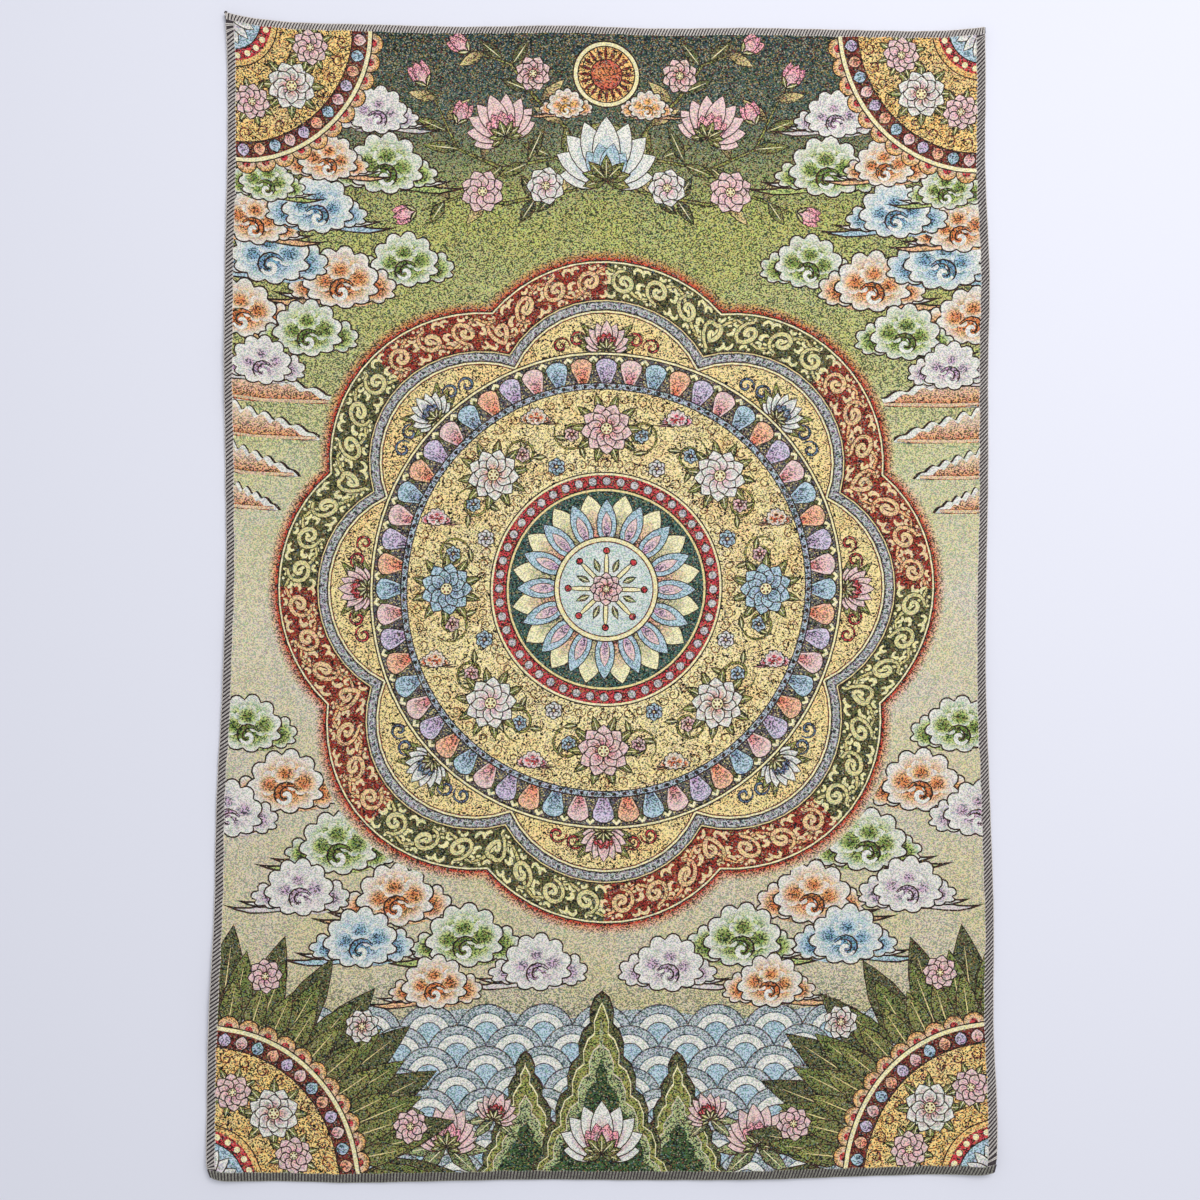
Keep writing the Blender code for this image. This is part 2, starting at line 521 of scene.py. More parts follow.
def bank(x, y, length, height, side):
    """A long flat cloud from a side of the panel, scalloped above and flat below."""

    def outline(drawn_in):
        """Anticlockwise, from the side of the panel to the tip and back."""
        reach = length - 2.4 * drawn_in
        points = []
        for t in np.linspace(0, 1, 41):
            scallop = 0.74 + 0.26 * abs(math.sin(6.5 * math.pi * t**0.85 + 0.9))
            rise = max(height * (1 - t) ** 0.62 * scallop - drawn_in, 0.3)
            points.append((x - side * reach * t, y + rise))
        for t in (0.8, 0.4, 0):
            points.append((x - side * reach * t, y - 2.4 * (1 - t) + drawn_in * 0.6))
        return points[::side]

    lay(outline(0), INK)
    lay(outline(1.0), WHITE)
    lay(outline(3.4), graded(((y, "#b8703c"), (y + height * 0.8, "#f0dcc2")), upwards))
    run = [(x - side * (length - 6) * t, y + 1.9 - 1.6 * (1 - t)) for t in (0, 0.35, 0.7, 1)]
    lines(run, (4.4, 0.5, "#9a5a38"), (2.8, 0.5, "#e6c3a0"))


# The ground that the rest of the figure stands on
# height up the panel, colour
GROUND_ROWS = (
    (-450, "#5b6548"),
    (-360, "#97977a"),
    (-290, "#d2c3a5"),
    (0, "#dccfb8"),
    (110, "#cbc59a"),
    (170, "#a9aa74"),
    (300, "#98a062"),
    (375, "#3e534a"),
    (450, "#1a3033"),
)
ground = graded(GROUND_ROWS, upwards, 1.0)

# The great medallion: eight lobes round concentric rings. In mm: its middle's height, the reach
# and radius of the lobes, and how far in from its edge the two outer bands go
MEDALLION_UP = 4
LOBES = 8
LOBE_CENTRE = 140
LOBE_RADIUS = 120
SCROLL_FROM = 3.5
SCROLL_TO = 31
SCROLL_UNITS = 56
KEYS = 168
FRET_TO = 40

# Points of the outline for each lobe, and the reach at which distances along the band are true
LOBE_STEPS = 14
TRUE_REACH = LOBE_CENTRE + LOBE_RADIUS - 28


def from_middle(reach, angle):
    """A point at a reach from the medallion's middle."""
    return polar(0, MEDALLION_UP, reach, angle)


def foil(angle, drawn_in):
    """The radius of the eight-lobed outline at an angle, drawn in by a distance."""
    lobe = math.tau / LOBES
    off = (angle + lobe / 2) % lobe - lobe / 2
    aside = LOBE_CENTRE * math.sin(off)
    return LOBE_CENTRE * math.cos(off) + math.sqrt((LOBE_RADIUS - drawn_in) ** 2 - aside**2)


def foil_spot(angle, drawn_in):
    return from_middle(foil(angle, drawn_in), angle)


def foil_outline(drawn_in):
    return [foil_spot(angle, drawn_in) for angle in around(LOBES * LOBE_STEPS, math.pi / LOBES)]


def foil_rings(*rows):
    """The eight-lobed outline one over another, as rows of how far it is drawn in and paint."""
    for drawn_in, paint in rows:
        lay(foil_outline(drawn_in), paint)


def on_foil(angle, along, drawn_in):
    """A point of the scroll band, a distance along it from an angle and drawn in from its edge."""
    return foil_spot(angle + along / TRUE_REACH, drawn_in)


def curl(along, depth, radius, turn, way):
    """A short path round part of a circle, in distances along and into the scroll band."""
    return [polar(along, depth, radius, turn + way * sweep) for sweep in (0, 0.9, 1.8, 2.7, 3.5)]


def scroll_unit(angle, hand, warm):
    """One unit of the vine scroll: a broad volute on the stem, small curls round it and seeds between."""
    middle = (SCROLL_FROM + SCROLL_TO) / 2
    light, deep, line = ("#f2cfa0", "#cd7a4c", "#5e1f18") if warm else ("#efe4ab", "#aaa05e", "#2f2c1c")
    spot = on_foil(angle, 0, middle)

    def put(path, width, colour, ends=0.5, line_width=0.0):
        on_band = [on_foil(angle, along, depth) for along, depth in path]
        if line_width:
            lines(on_band, (width + 2 * line_width, 0.7, line))
        lines(on_band, (width, ends, shaded(light, colour, *spot, 17, 0.5)))

    for along, depth, radius, turn, way in (
        (-9.6, middle - 9.6 * hand, 2.9, 0.6, -hand), (9.8, middle + 9.6 * hand, 2.9, 3.6, -hand),
        (-10.6, middle + 8.2 * hand, 2.8, 2.0, hand), (10.6, middle - 8.2 * hand, 2.8, 5.1, hand),
        (-12.4, middle + 1.2 * hand, 2.6, 4.2, hand), (12.4, middle - 1.2 * hand, 2.6, 1.1, hand),
        (-2.4, middle + 11.9 * hand, 2.2, 3.3, hand), (2.4, middle - 11.9 * hand, 2.2, 0.2, hand),
    ):
        put(curl(along, depth, radius, turn, way), 2.7, light, 0.5)
    stem = []
    for step in (-1, -0.5, 0, 0.5, 1):
        stem.append((13 * step, middle + hand * 10.5 * math.cos(math.pi / 2 * (1 + step))))
    put(stem, 2.5, deep, 0.6, 0.7)
    put(spiral(0, middle, 9.8, -hand * math.pi / 2, 1.5, hand), 3.5, deep, 0.55, 0.7)
    for along, depth in ((-6.8, 12.3), (6.8, -12.3), (-14, -11.5), (14, 11.5)):
        lay(disc(*on_foil(angle, along, middle + hand * depth), 1.2), yarn(light, 0.5))


def glow(reach):
    """A brick red that fades into the ground outside the eight lobes."""
    red = linear("#b3492f")

    def paint(x, y):
        beyond = math.hypot(x, y - MEDALLION_UP) - foil(math.atan2(y - MEDALLION_UP, x), 0)
        return blend(red, ground(x, y), beyond / reach, 0, 0, 1.0)

    return paint


def rings(*rows):
    """Rings of the medallion from the outermost in, each laid as a disc that the next one covers."""
    discs(0, MEDALLION_UP, *rows)


def scroll_band():
    """The outer band: gold vine scroll on brick red and dark green by turns."""
    foil_rings((-8, glow(8)), (-1.2, "#a23a2a"), (0.4, INK), (1.4, yarn(GOLD_LIGHT, 0.6)))
    half = math.pi / LOBES
    for lobe, middle in enumerate(around(LOBES, math.pi / 2)):
        for start, colour in zip((-1, 0), (("#7d2a20", MOSS) if lobe % 2 else (MOSS, "#7d2a20"))):
            steps = [middle + half * t for t in np.linspace(start, start + 1, 9)]
            outer = [foil_spot(at, 2.6) for at in steps]
            inner = [foil_spot(at, SCROLL_TO + 1) for at in reversed(steps)]
            lay(outer + inner, colour)
    for unit, angle in enumerate(around(SCROLL_UNITS, math.pi / SCROLL_UNITS)):
        turn = (angle - math.pi / 2) % math.tau / (math.tau / LOBES)
        lobe = round(turn)
        warm = (turn < lobe) == (lobe % 2 == 1)
        scroll_unit(angle, 1 if unit % 2 else -1, warm)


def fret_band():
    """A slate-blue band with a small key fret."""
    foil_rings((SCROLL_TO + 0.2, INK), (SCROLL_TO + 1.2, yarn(GOLD, 0.8)), (SCROLL_TO + 2.0, SLATE_DARK))
    lay(foil_outline(SCROLL_TO + 2.9), shaded(SLATE_DARK, SLATE, 0, MEDALLION_UP, 225))
    for angle in around(KEYS):
        path = []
        for share, depth in ((-0.5, 4.1), (-0.5, 7.4), (0, 7.4), (0, 4.1), (0.5, 4.1)):
            at = angle + share * math.tau / KEYS
            path.append(foil_spot(at, SCROLL_TO + depth))
        lines(path, (1.0, 1.0, "#cdcfcc"))
    foil_rings((FRET_TO - 0.4, INK), (FRET_TO + 0.6, yarn(GOLD_LIGHT, 0.8)), (FRET_TO + 2, MAROON))
    lay(foil_outline(FRET_TO + 3), shaded(ORANGE_GOLD, GOLD, 0, MEDALLION_UP, 215, 0.8, 0.9))


def lobe_flowers():
    """A lotus with leaves and curling clouds in the crescent inside each lobe."""
    for index, angle in enumerate(around(LOBES, math.pi / 2)):
        root = from_middle(189, angle)
        for side in (1, -1):
            for reach, turn in ((0.185, 6.0), (0.115, 9.0)):
                spot = from_middle(188 + turn, angle + side * reach)
                path = spiral(*spot, 7.2, angle - side * 1.6, 1.3, side)
                lines(path, (2.8, 0.4, INK), (1.3, 0.3, (CRIMSON, DEEP_BLUE)[index % 2]))
        for turn in (1.15, -1.15, 1.48, -1.48, 0.8, -0.8):
            leaf(*root, angle + turn, 37 - 9 * abs(turn), 9.5)
        tip, base = ((PINK_LIGHT, CRIMSON), (WHITE, DEEP_BLUE))[index % 2]
        lotus(*root, 22, angle, tip, base)


# Tip and root of four petals that take turns, and how many petals are in the ring
PETAL_RING = (("#c9bdd0", "#7f6c8c"), ("#efb796", "#b5452e"), (SKY_BLUE, DEEP_BLUE), (PINK_LIGHT, CRIMSON))
RING_PETALS = 56


def petal_ring():
    """A ring of lotus petals that point outwards, in four colours by turns."""
    rings((187, INK), (186, yarn(GOLD_LIGHT, 0.9)), (184.5, INK), (183.6, yarn("#4a4a4e", 0.2)))
    for angle in around(RING_PETALS, math.pi / 2 + math.pi / RING_PETALS):
        lay(petal(*from_middle(172, angle), angle, 11.5, 9), yarn(GOLD_LIGHT, 0.5))
        lay(petal(*from_middle(172, angle), angle, 9, 5.6), LEAF_DARK)
    for index, angle in enumerate(around(RING_PETALS, math.pi / 2)):
        tip, root = PETAL_RING[index % 4]
        blossom_petal(*from_middle(161, angle), angle, 21.0, 18.0, tip, root, SPOON)
    rings((162.6, INK), (161.6, "#8fa0aa"))
    for angle in around(120):
        lay(disc(*from_middle(159.5, angle), 1.5), INK)
    lay(disc(0, MEDALLION_UP, 157.6), INK)


def flower_scroll(angle, hand):
    """A pair of scrolling stems on the gold ground, with leaves, a bud and a small cloud."""
    for side in (1, -1):
        eye = from_middle(124, angle + side * 0.17)
        path = spiral(*eye, 15, angle + math.pi * (0.5 + 0.4 * side), 1.55, side * hand)
        lines(path, (2.6, 0.4, "#4a3317"), (1.2, 0.3, LEAF))
        for share in (0.12, 0.3, 0.5):
            root = path[round(share * (len(path) - 1))]
            leaf(*root, angle + side * (1.4 + 6 * share), 12, 5.5)
        rosette(*eye, 6.5, 6, (PINK_LIGHT, SKY_BLUE)[hand > 0], (CRIMSON, DEEP_BLUE)[hand > 0])


def gold_ground():
    """The broad gold ring with eight blossoms, scrolling stems and small clouds."""
    lay(disc(0, MEDALLION_UP, 156.8), shaded(GOLD_LIGHT, GOLD, 0, MEDALLION_UP, 175, 0.85, 1.0))
    for angle in around(64):
        for reach, turn in ((150, 0), (98, 2)):
            eye = from_middle(reach, angle)
            path = spiral(*eye, 5.2, angle + turn, 1.2, 1 if reach > 100 else -1)
            lines(path, (1.0, 0.5, "#6b4420"))
    for index, angle in enumerate(around(8, math.pi / 2)):
        flower_scroll(angle + math.pi / 8, 1 if index % 2 else -1)
    for index, angle in enumerate(around(8, math.pi / 2 + math.pi / 8)):
        x, y = from_middle(145, angle)
        tint, deep = ((PEACH, BRICK), (PINK, CRIMSON))[index % 2]
        cloud(x, y - 1.5, 11, tint, deep, 1 if x < 0 else -1)
        spot = from_middle(103, angle)
        rosette(*spot, 7.5, 6, (SKY_BLUE, WHITE)[index % 2], (DEEP_BLUE, LAVENDER)[index % 2])
    for index, angle in enumerate(around(8, math.pi / 2)):
        tip, root = ((PINK_LIGHT, CRIMSON), (WHITE, BRICK), (SKY_BLUE, DEEP_BLUE), (WHITE, PINK))[index % 4]
        spot = from_middle(126, angle)
        for turn in around(10, angle + 0.31):
            leaf(*polar(*spot, 12, turn), turn, 17, 8)
        rosette(*spot, 21, 9, tip, root, angle)


def pearl_band():
    """White pearls on a crimson ring."""
    rings((92, INK), (91, yarn(GOLD_LIGHT, 0.9)), (89.4, CRIMSON))
    for angle in around(48):
        spot = from_middle(84.4, angle)
        discs(*spot, (3.9, MAROON), (3.1, shaded(WHITE, "#b9b4b6", *spot, 3.4)))
    rings((79.4, INK), (78.4, yarn(GOLD, 0.9)))


def great_lotus():
    """The sixteen-petalled lotus and the wheel in the middle."""
    lay(disc(0, MEDALLION_UP, 76.8), "#31524c")
    for index, angle in enumerate(around(16, math.pi / 16)):
        root = (CRIMSON, LEAF_DARK)[index % 2]
        blossom_petal(*from_middle(34, angle), angle, 41.5, 23, GOLD_LIGHT, root)
    for angle in around(16):
        blossom_petal(*from_middle(34, angle), angle, 37, 16.5, SKY_BLUE, SKY_BLUE)
        blossom_petal(*from_middle(40, angle), angle, 21, 8.5, PINK_LIGHT, "#8f7aa0", line=0.7)
    rings((41.5, INK), (40.5, yarn(GOLD_LIGHT, 0.9)), (37.6, MAROON))
    lay(disc(0, MEDALLION_UP, 36.6), shaded("#f0ece2", "#cdd8d2", 0, MEDALLION_UP, 36))
    for angle in around(8):
        spoke = [from_middle(reach, angle) for reach in (6, 14, 22, 28)]
        lines(spoke, (4.6, 0.5, INK), (2.9, 0.45, yarn(GOLD_LIGHT, 0.8)))
        discs(*from_middle(30, angle), (3.0, INK), (2.2, CRIMSON))
    for angle in around(8, math.pi / 8):
        leaf(*from_middle(14, angle), angle, 12, 5.5, CLOUD_GREEN)
    rosette(0, MEDALLION_UP, 13.5, 8, PINK_LIGHT, CRIMSON, math.pi / 8)


# Clouds about the medallion
# across, up, size, colours
CLOUDS = (
    (158, 256, 34, "green"),
    (208, 240, 38, "peach"),
    (264, 258, 40, "blue"),
    (286, 212, 36, "peach"),
    (234, 200, 35, "green"),
    (270, 174, 30, "white"),
    (278, -110, 34, "green"),
    (246, -154, 38, "peach"),
    (290, -176, 34, "white"),
    (204, -200, 38, "green"),
    (160, -240, 38, "peach"),
    (234, -234, 34, "white"),
    (106, -272, 38, "green"),
    (186, -272, 36, "blue"),
    (50, -292, 34, "white"),
    (128, -306, 32, "peach"),
)
CLOUD_COLOURS = {
    "green": ("#9fb26c", "#567030"),
    "peach": ("#e3b083", "#b5693a"),
    "blue": (SKY_BLUE, "#5d88a0"),
    "white": ("#dcd0cc", "#a793a6"),
}

# Clouds round the two upper corners
# reach from the corner, turn down from the upper edge, size, colours
COLLAR_CLOUDS = (
    (166, 1.44, 34, "peach"),
    (172, 0.76, 38, "green"),
    (168, 1.13, 36, "blue"),
    (136, 1.34, 28, "green"),
    (140, 0.56, 30, "white"),
    (138, 0.96, 30, "peach"),
)


def collar(side, end):
    """What stands round a corner fan: curling clouds above, and leaves with flowers below."""
    x0 = side * HALF_WIDE
    y0 = end * HALF_TALL
    if end > 0:
        for reach, turn, size, colours in COLLAR_CLOUDS:
            x, y = polar(0, 0, reach, turn)
            cloud(x0 - side * x, y0 - y, size, *CLOUD_COLOURS[colours], -side)
        return
    for reach, length, width, count, colour in (
        (112, 82, 30, 30, LEAF_DARK), (112, 64, 24, 36, "#66763c"), (112, 44, 18, 44, LEAF),
    ):
        for angle in around(count, 0.07 + length / 500):
            if math.cos(angle) * side < 0.12 and math.sin(angle) > -0.12:
                leaf(*polar(x0, y0, reach, angle), angle, length, width, colour, GOLD)
    for angle, reach in ((0.26, 160), (0.79, 166), (1.31, 160)):
        turn = angle if side < 0 else math.pi - angle
        spot = polar(x0, y0, reach, turn)
        tip, root = (WHITE, CRIMSON) if angle == 0.79 else (PINK_LIGHT, PINK)
        rosette(*spot, 14, 8, tip, root, turn)


def corner_fan(side, end):
    """A quarter medallion in a corner: petals, pearls, a gold ground with a lotus, and an eye."""
    x0 = side * HALF_WIDE
    y0 = end * HALF_TALL

    def seen(spot):
        return abs(spot[0]) < HALF_WIDE and abs(spot[1]) < HALF_TALL

    collar(side, end)
    for angle in around(48):
        spot = polar(x0, y0, 117, angle)
        if seen(spot):
            melted = shaded(WHITE, ORANGE_GOLD, *polar(x0, y0, 112, angle), 12)
            discs(*spot, (8.6, INK), (7.7, melted), (3.4, CRIMSON))
    discs(x0, y0, (117, INK), (116, yarn(GOLD_LIGHT, 0.7)), (113, MAROON))
    for index, angle in enumerate(around(52)):
        spot = polar(x0, y0, 107.5, angle)
        if seen(spot):
            tip, root = PETAL_RING[(index + (side > 0)) % 4]
            blossom_petal(*polar(x0, y0, 101, angle), angle, 11.5, 10.5, tip, root)
    discs(x0, y0, (101, INK), (100, shaded("#b98a48", "#d6ab63", x0, y0, 104, 0.85, 1.0)))
    inwards = math.atan2(-end, -side)
    for turn in around(40):
        spot = polar(x0, y0, 93, turn)
        if seen(spot):
            lines(spiral(*spot, 5.5, turn, 1.25, side * end), (1.3, 0.5, MAROON))
    for reach, turn, size in ((72, 0, 28), (69, 0.50, 21), (69, -0.50, 21)):
        spot = polar(x0, y0, reach, inwards + turn)
        for spread in around(8, inwards + turn):
            leaf(*polar(*spot, size * 0.35, spread), spread, size * 0.64, size * 0.3)
        tip, root = (WHITE, CRIMSON) if size > 24 else (PINK_LIGHT, PINK)
        rosette(*spot, size * 0.72, 8, tip, root, inwards + turn)
    discs(x0, y0, (42, INK), (41, yarn(ORANGE_GOLD, 0.8)), (37, CRIMSON))
    for angle in around(24):
        lay(disc(*polar(x0, y0, 33, angle), 2.4), yarn(GOLD_LIGHT, 0.7))
    discs(x0, y0, (29, INK), (28, shaded(DEEP_BLUE, SKY_BLUE, x0, y0, 28)))
    for angle in around(16):
        blossom_petal(*polar(x0, y0, 4, angle), angle, 21, 8.5, WHITE, LAVENDER)


# Leaves of the spray on the right, mirrored on the left
# across, up, angle, length
SPRAY_LEAVES = (
    (30, 342, 1.5, 30),
    (44, 346, 0.4, 26),
    (62, 342, 2.0, 32),
    (82, 338, -0.7, 28),
    (62, 340, -0.4, 26),
    (98, 344, 1.9, 30),
    (116, 352, 0.1, 30),
    (128, 374, 2.4, 28),
    (134, 392, 0.2, 24),
    (126, 366, 0.4, 28),
    (22, 336, -0.9, 26),
    (24, 360, 2.6, 26),
    (34, 372, 0.5, 28),
    (52, 390, 2.4, 26),
    (60, 398, 0.4, 26),
    (74, 420, 2.2, 24),
    (82, 424, 0.7, 24),
    (96, 430, -0.5, 24),
    (56, 312, 1.0, 22),
    (56, 312, -1.0, 24),
    (92, 310, 0.9, 24),
    (96, 310, -0.9, 24),
    (124, 312, 0.9, 22),
    (128, 310, -1.0, 22),
    (40, 316, -0.8, 22),
)


def top_spray():
    """Lotuses, buds and gold leaves at the top, under a small sun."""
    for side in (1, -1):
        for stem in (
            ((6, 326), (40, 344), (82, 336), (118, 352), (138, 396)),
            ((10, 330), (30, 366), (56, 392), (76, 420), (104, 430)),
            ((8, 322), (40, 316), (80, 308), (116, 314), (146, 302)),
        ):
            path = [(side * u, v) for u, v in stem]
            lines(path, (3.6, 0.4, INK), (1.8, 0.3, LEAF))
        for u, v, turn, length in SPRAY_LEAVES:
            angle = turn if side > 0 else math.pi - turn
            colour, vein = ((LEAF, GOLD_LIGHT), (GOLD, MAROON), (LEAF_DARK, GOLD_LIGHT))[(u + v) % 3]
            leaf(side * u, v, angle, length, 10.5, colour, vein)
        bud(side * 142, 402, 22, math.pi / 2 - side * 0.5)
        bud(side * 108, 430, 20, math.pi / 2 - side * 0.9)
        bud(side * 150, 302, 20, -side * 0.3 + (0 if side > 0 else math.pi))
        bud(side * 118, 372, 20, math.pi / 2 + side * 0.4)
        lotus(side * 80, 362, 34, math.pi / 2 - side * 0.35)
        rosette(side * 98, 318, 18, 8, PINK_LIGHT, PINK)
        rosette(side * 48, 322, 16, 7, WHITE, PINK)
        rosette(side * 58, 412, 15, 8, PINK_LIGHT, CRIMSON)
    inked(disc(0, 412, 27), yarn(GOLD_LIGHT, 0.9), 1.2)
    inked(disc(0, 412, 23), yarn(ORANGE_GOLD, 0.7, 0.8), 0.9)
    for angle in around(20):
        lay(petal(*polar(0, 412, 12, angle), angle, 10.5, 3), MAROON)
    inked(disc(0, 412, 13), shaded(ORANGE_GOLD, CRIMSON, 0, 412, 14), 0.9)
    for side in (1, -1):
        cloud(side * 32, 384, 19, PEACH, ORANGE_GOLD, side)
    lotus(0, 328, 48, math.pi / 2, WHITE, SKY_BLUE)


def clouds():
    """The long flat clouds at the two sides, then the curling ones about the medallion."""
    for side in (1, -1):
        for y, length, height in ((148, 98, 32), (119, 80, 31), (90, 62, 28), (63, 46, 25)):
            bank(side * 302, y, length, height, side)
    for x, y, size, colours in CLOUDS:
        for side in (1, -1):
            cloud(side * x, y, size, *CLOUD_COLOURS[colours], side)


# Radius and colour of the nested discs of one wave scale
WAVE_BANDS = (
    (23.8, SLATE_DARK),
    (22.7, WATER),
    (17.2, "#56707c"),
    (16.2, WHITE),
    (10.4, SLATE_DARK),
    (9.5, SKY_BLUE),
)


def waves():
    """Rows of overlapping wave scales along the foot of the panel."""
    crest = [(x, -324 + 4 * math.sin(x / 21)) for x in range(-HALF_WIDE, HALF_WIDE + 1, 12)]
    lay([(-HALF_WIDE, -HALF_TALL), (HALF_WIDE, -HALF_TALL)] + crest[::-1], WATER)
    for row in range(8):
        y = -340 - 16 * row
        for step in range(-7, 8):
            x = step * 44 + 22 * (row % 2)
            discs(x, y, *WAVE_BANDS)


# How far each band of a peak is drawn in, and its colour
PEAK_BANDS = (
    (0, INK),
    (1.1, LEAF_DARK),
    (6, GOLD_LIGHT),
    (7, LEAF),
    (13, CREAM),
    (14, CLOUD_GREEN),
    (21, "#2f4a2a"),
)
PEAK_FOOT = -456


def peak(x, width, top, tiers):
    """A steep rock with scalloped shoulders, in nested bands of green."""
    for drawn_in, colour in PEAK_BANDS:
        right = []
        rise = top - PEAK_FOOT - drawn_in * 1.5
        for tier in range(tiers + 1):
            share = tier / tiers
            half = width / 2 * (1 - share) ** 1.15 - drawn_in * 0.62 + (2.5 if tier < tiers else 0)
            half = max(half, 0.0)
            level = PEAK_FOOT + rise * share
            right.append((half, level))
            if tier < tiers:
                right.append((max(half - 1, 0.2) + 1.4, level + rise / tiers * 0.4))
                right.append((max(half - 3, 0.1), level + rise / tiers * 0.8))
        outline = [(x + half, level) for half, level in right]
        outline += [(x - half, level) for half, level in reversed(right[:-1])]
        lay(outline, yarn(colour, 0.5 if colour == GOLD_LIGHT else 0))


def foot():
    """Rocks, lotuses and leaves standing in the waves."""
    waves()
    for x, width, top in ((-58, 74, -352), (58, 74, -352), (0, 104, -306)):
        peak(x, width, top, 6)
    for side in (1, -1):
        for x, y, size, lean, colours in (
            (118, -424, 30, 0.1, (PINK_LIGHT, PINK)), (160, -396, 24, -0.3, (WHITE, LAVENDER)),
            (82, -404, 20, 0.35, (PINK_LIGHT, CRIMSON)),
        ):
            for turn in (1.7, -1.7, 2.3, -2.3):
                leaf(side * x, y, math.pi / 2 + turn, size * 1.1, size * 0.42, CLOUD_GREEN)
            lotus(side * x, y, size, math.pi / 2 + side * lean, *colours)
    lotus(0, -430, 38, math.pi / 2, WHITE, PINK)


def draw_figure():
    """The whole figure, from the ground up."""
    lower = [(-HALF_WIDE, -HALF_TALL), (HALF_WIDE, -HALF_TALL)]
    lay(lower + [(HALF_WIDE, HALF_TALL), (-HALF_WIDE, HALF_TALL)], ground)
    foot()
    clouds()
    top_spray()
    for side, end in ((-1, -1), (1, -1), (1, 1), (-1, 1)):
        corner_fan(side, end)
    scroll_band()
    fret_band()
    lobe_flowers()
    petal_ring()
    gold_ground()
    pearl_band()
    great_lotus()


# The cloth

# Pitch in mm of the points over the face, along its edge and over the reverse
GRID_PITCH = 15
EDGE_PITCH = 7
REVERSE_PITCH = 24

# Rows of points along the edge, in mm in from it
MARGIN_ROWS = (3.5, 8.5, 14)

# The grid's points are moved a little, so that none falls on an even measure of the drawing
OFF_GRID = (0.013, 0.017)

# Points of the drawing, and of the reverse, nearer than this, in mm, are one point
SAME_POINT = 1e-4
SAME_POINT_BEHIND = 1e-5

# The cloth's rim and its two faces meet at more than this angle
CRISP_ANGLE = math.radians(50)

# An outline's point goes if it lies nearer than this, in mm, to the line between its neighbours
STRAIGHT_ENOUGH = 0.155


def rectangle_share(points):
    """How far round the cloth's rectangle, anticlockwise from its first corner, each point is."""
    low = EDGE_INSET / MM
    wide = WIDTH / MM - 2 * low
    tall = HEIGHT / MM - 2 * low
    close = 1e-3
    shares = []
    for across, up in points:
        u = across - low
        v = up - low
        if v < close:
            shares.append(u)
        elif u > wide - close:
            shares.append(wide + v)
        elif v > tall - close:
            shares.append(wide + tall + (wide - u))
        elif u < close:
            shares.append(2 * wide + tall + (tall - v))
        else:
            shares.append(-1)
    return np.array(shares)


def cut_corners():
    """The cut's four corners in mm, anticlockwise."""
    low = EDGE_INSET / MM
    right = WIDTH / MM - low
    top = HEIGHT / MM - low
    return [(low, low), (right, low), (right, top), (low, top)]


def inner_grid(pitch):
    """Points over the cut, in mm, that carry its lie and its slow changes of colour."""
    points = []
    for across in np.arange(pitch * 0.6, WIDTH / MM - pitch * 0.5, pitch):
        for up in np.arange(pitch * 0.6, HEIGHT / MM - pitch * 0.5, pitch):
            points.append((float(across) + OFF_GRID[0], float(up) + OFF_GRID[1]))
    return points


def margin_rows():
    """Points that keep the cloth smooth under the overlocked edge, where it ripples most."""
    points = []
    for depth in MARGIN_ROWS:
        for along in np.arange(depth, WIDTH / MM - depth, EDGE_PITCH):
            points += [(float(along), depth), (float(along), HEIGHT / MM - depth)]
        for along in np.arange(depth + EDGE_PITCH, HEIGHT / MM - depth, EDGE_PITCH):
            points += [(depth, float(along)), (WIDTH / MM - depth, float(along))]
    return points


def edge_points(pitch):
    """Points along the cut's four sides, corners included."""
    points = []
    corners = cut_corners()
    for start, end in zip(corners, corners[1:] + corners[:1]):
        steps = round(math.dist(start, end) / pitch)
        for step in range(steps):
            share = step / steps
            points.append(tuple(a + (b - a) * share for a, b in zip(start, end)))
    return points


def shown_edges(triangles, on_top):
    """The edges where two shapes meet on top, with the border's own."""
    corners = np.array(triangles)
    sides = np.concatenate((corners[:, (0, 1)], corners[:, (1, 2)], corners[:, (2, 0)]))
    sides = np.sort(sides, axis=1)
    tops = np.tile(np.array(on_top), 3)
    order = np.lexsort((sides[:, 1], sides[:, 0]))
    sides = sides[order]
    tops = tops[order]
    twin = np.all(sides[1:] == sides[:-1], axis=1)
    first = np.append(twin, False)
    second = np.insert(twin, 0, False)
    alone = ~first & ~second
    differs = np.append(tops[1:] != tops[:-1], False)
    return sides[alone | (first & differs)]


def straighten(points, sides):
    """Drops the inner points of the outlines that lie nearly straight between their neighbours."""
    on_rim = rectangle_share(points) >= 0
    linked = {}
    for a, b in sides:
        linked.setdefault(a, set()).add(b)
        linked.setdefault(b, set()).add(a)
    for _ in range(3):
        kept = set()
        for point in list(linked):
            if on_rim[point] or point in kept or len(linked[point]) != 2:
                continue
            a, b = linked[point]
            if b in linked[a]:
                continue
            x0, y0 = points[a]
            x1, y1 = points[b]
            x, y = points[point]
            length = math.hypot(x1 - x0, y1 - y0) or 1
            if abs((x1 - x0) * (y - y0) - (y1 - y0) * (x - x0)) / length > STRAIGHT_ENOUGH:
                continue
            linked[a].remove(point)
            linked[b].remove(point)
            linked[a].add(b)
            linked[b].add(a)
            del linked[point]
            kept.update((a, b))
    return [(a, b) for a in linked for b in linked[a] if a < b]


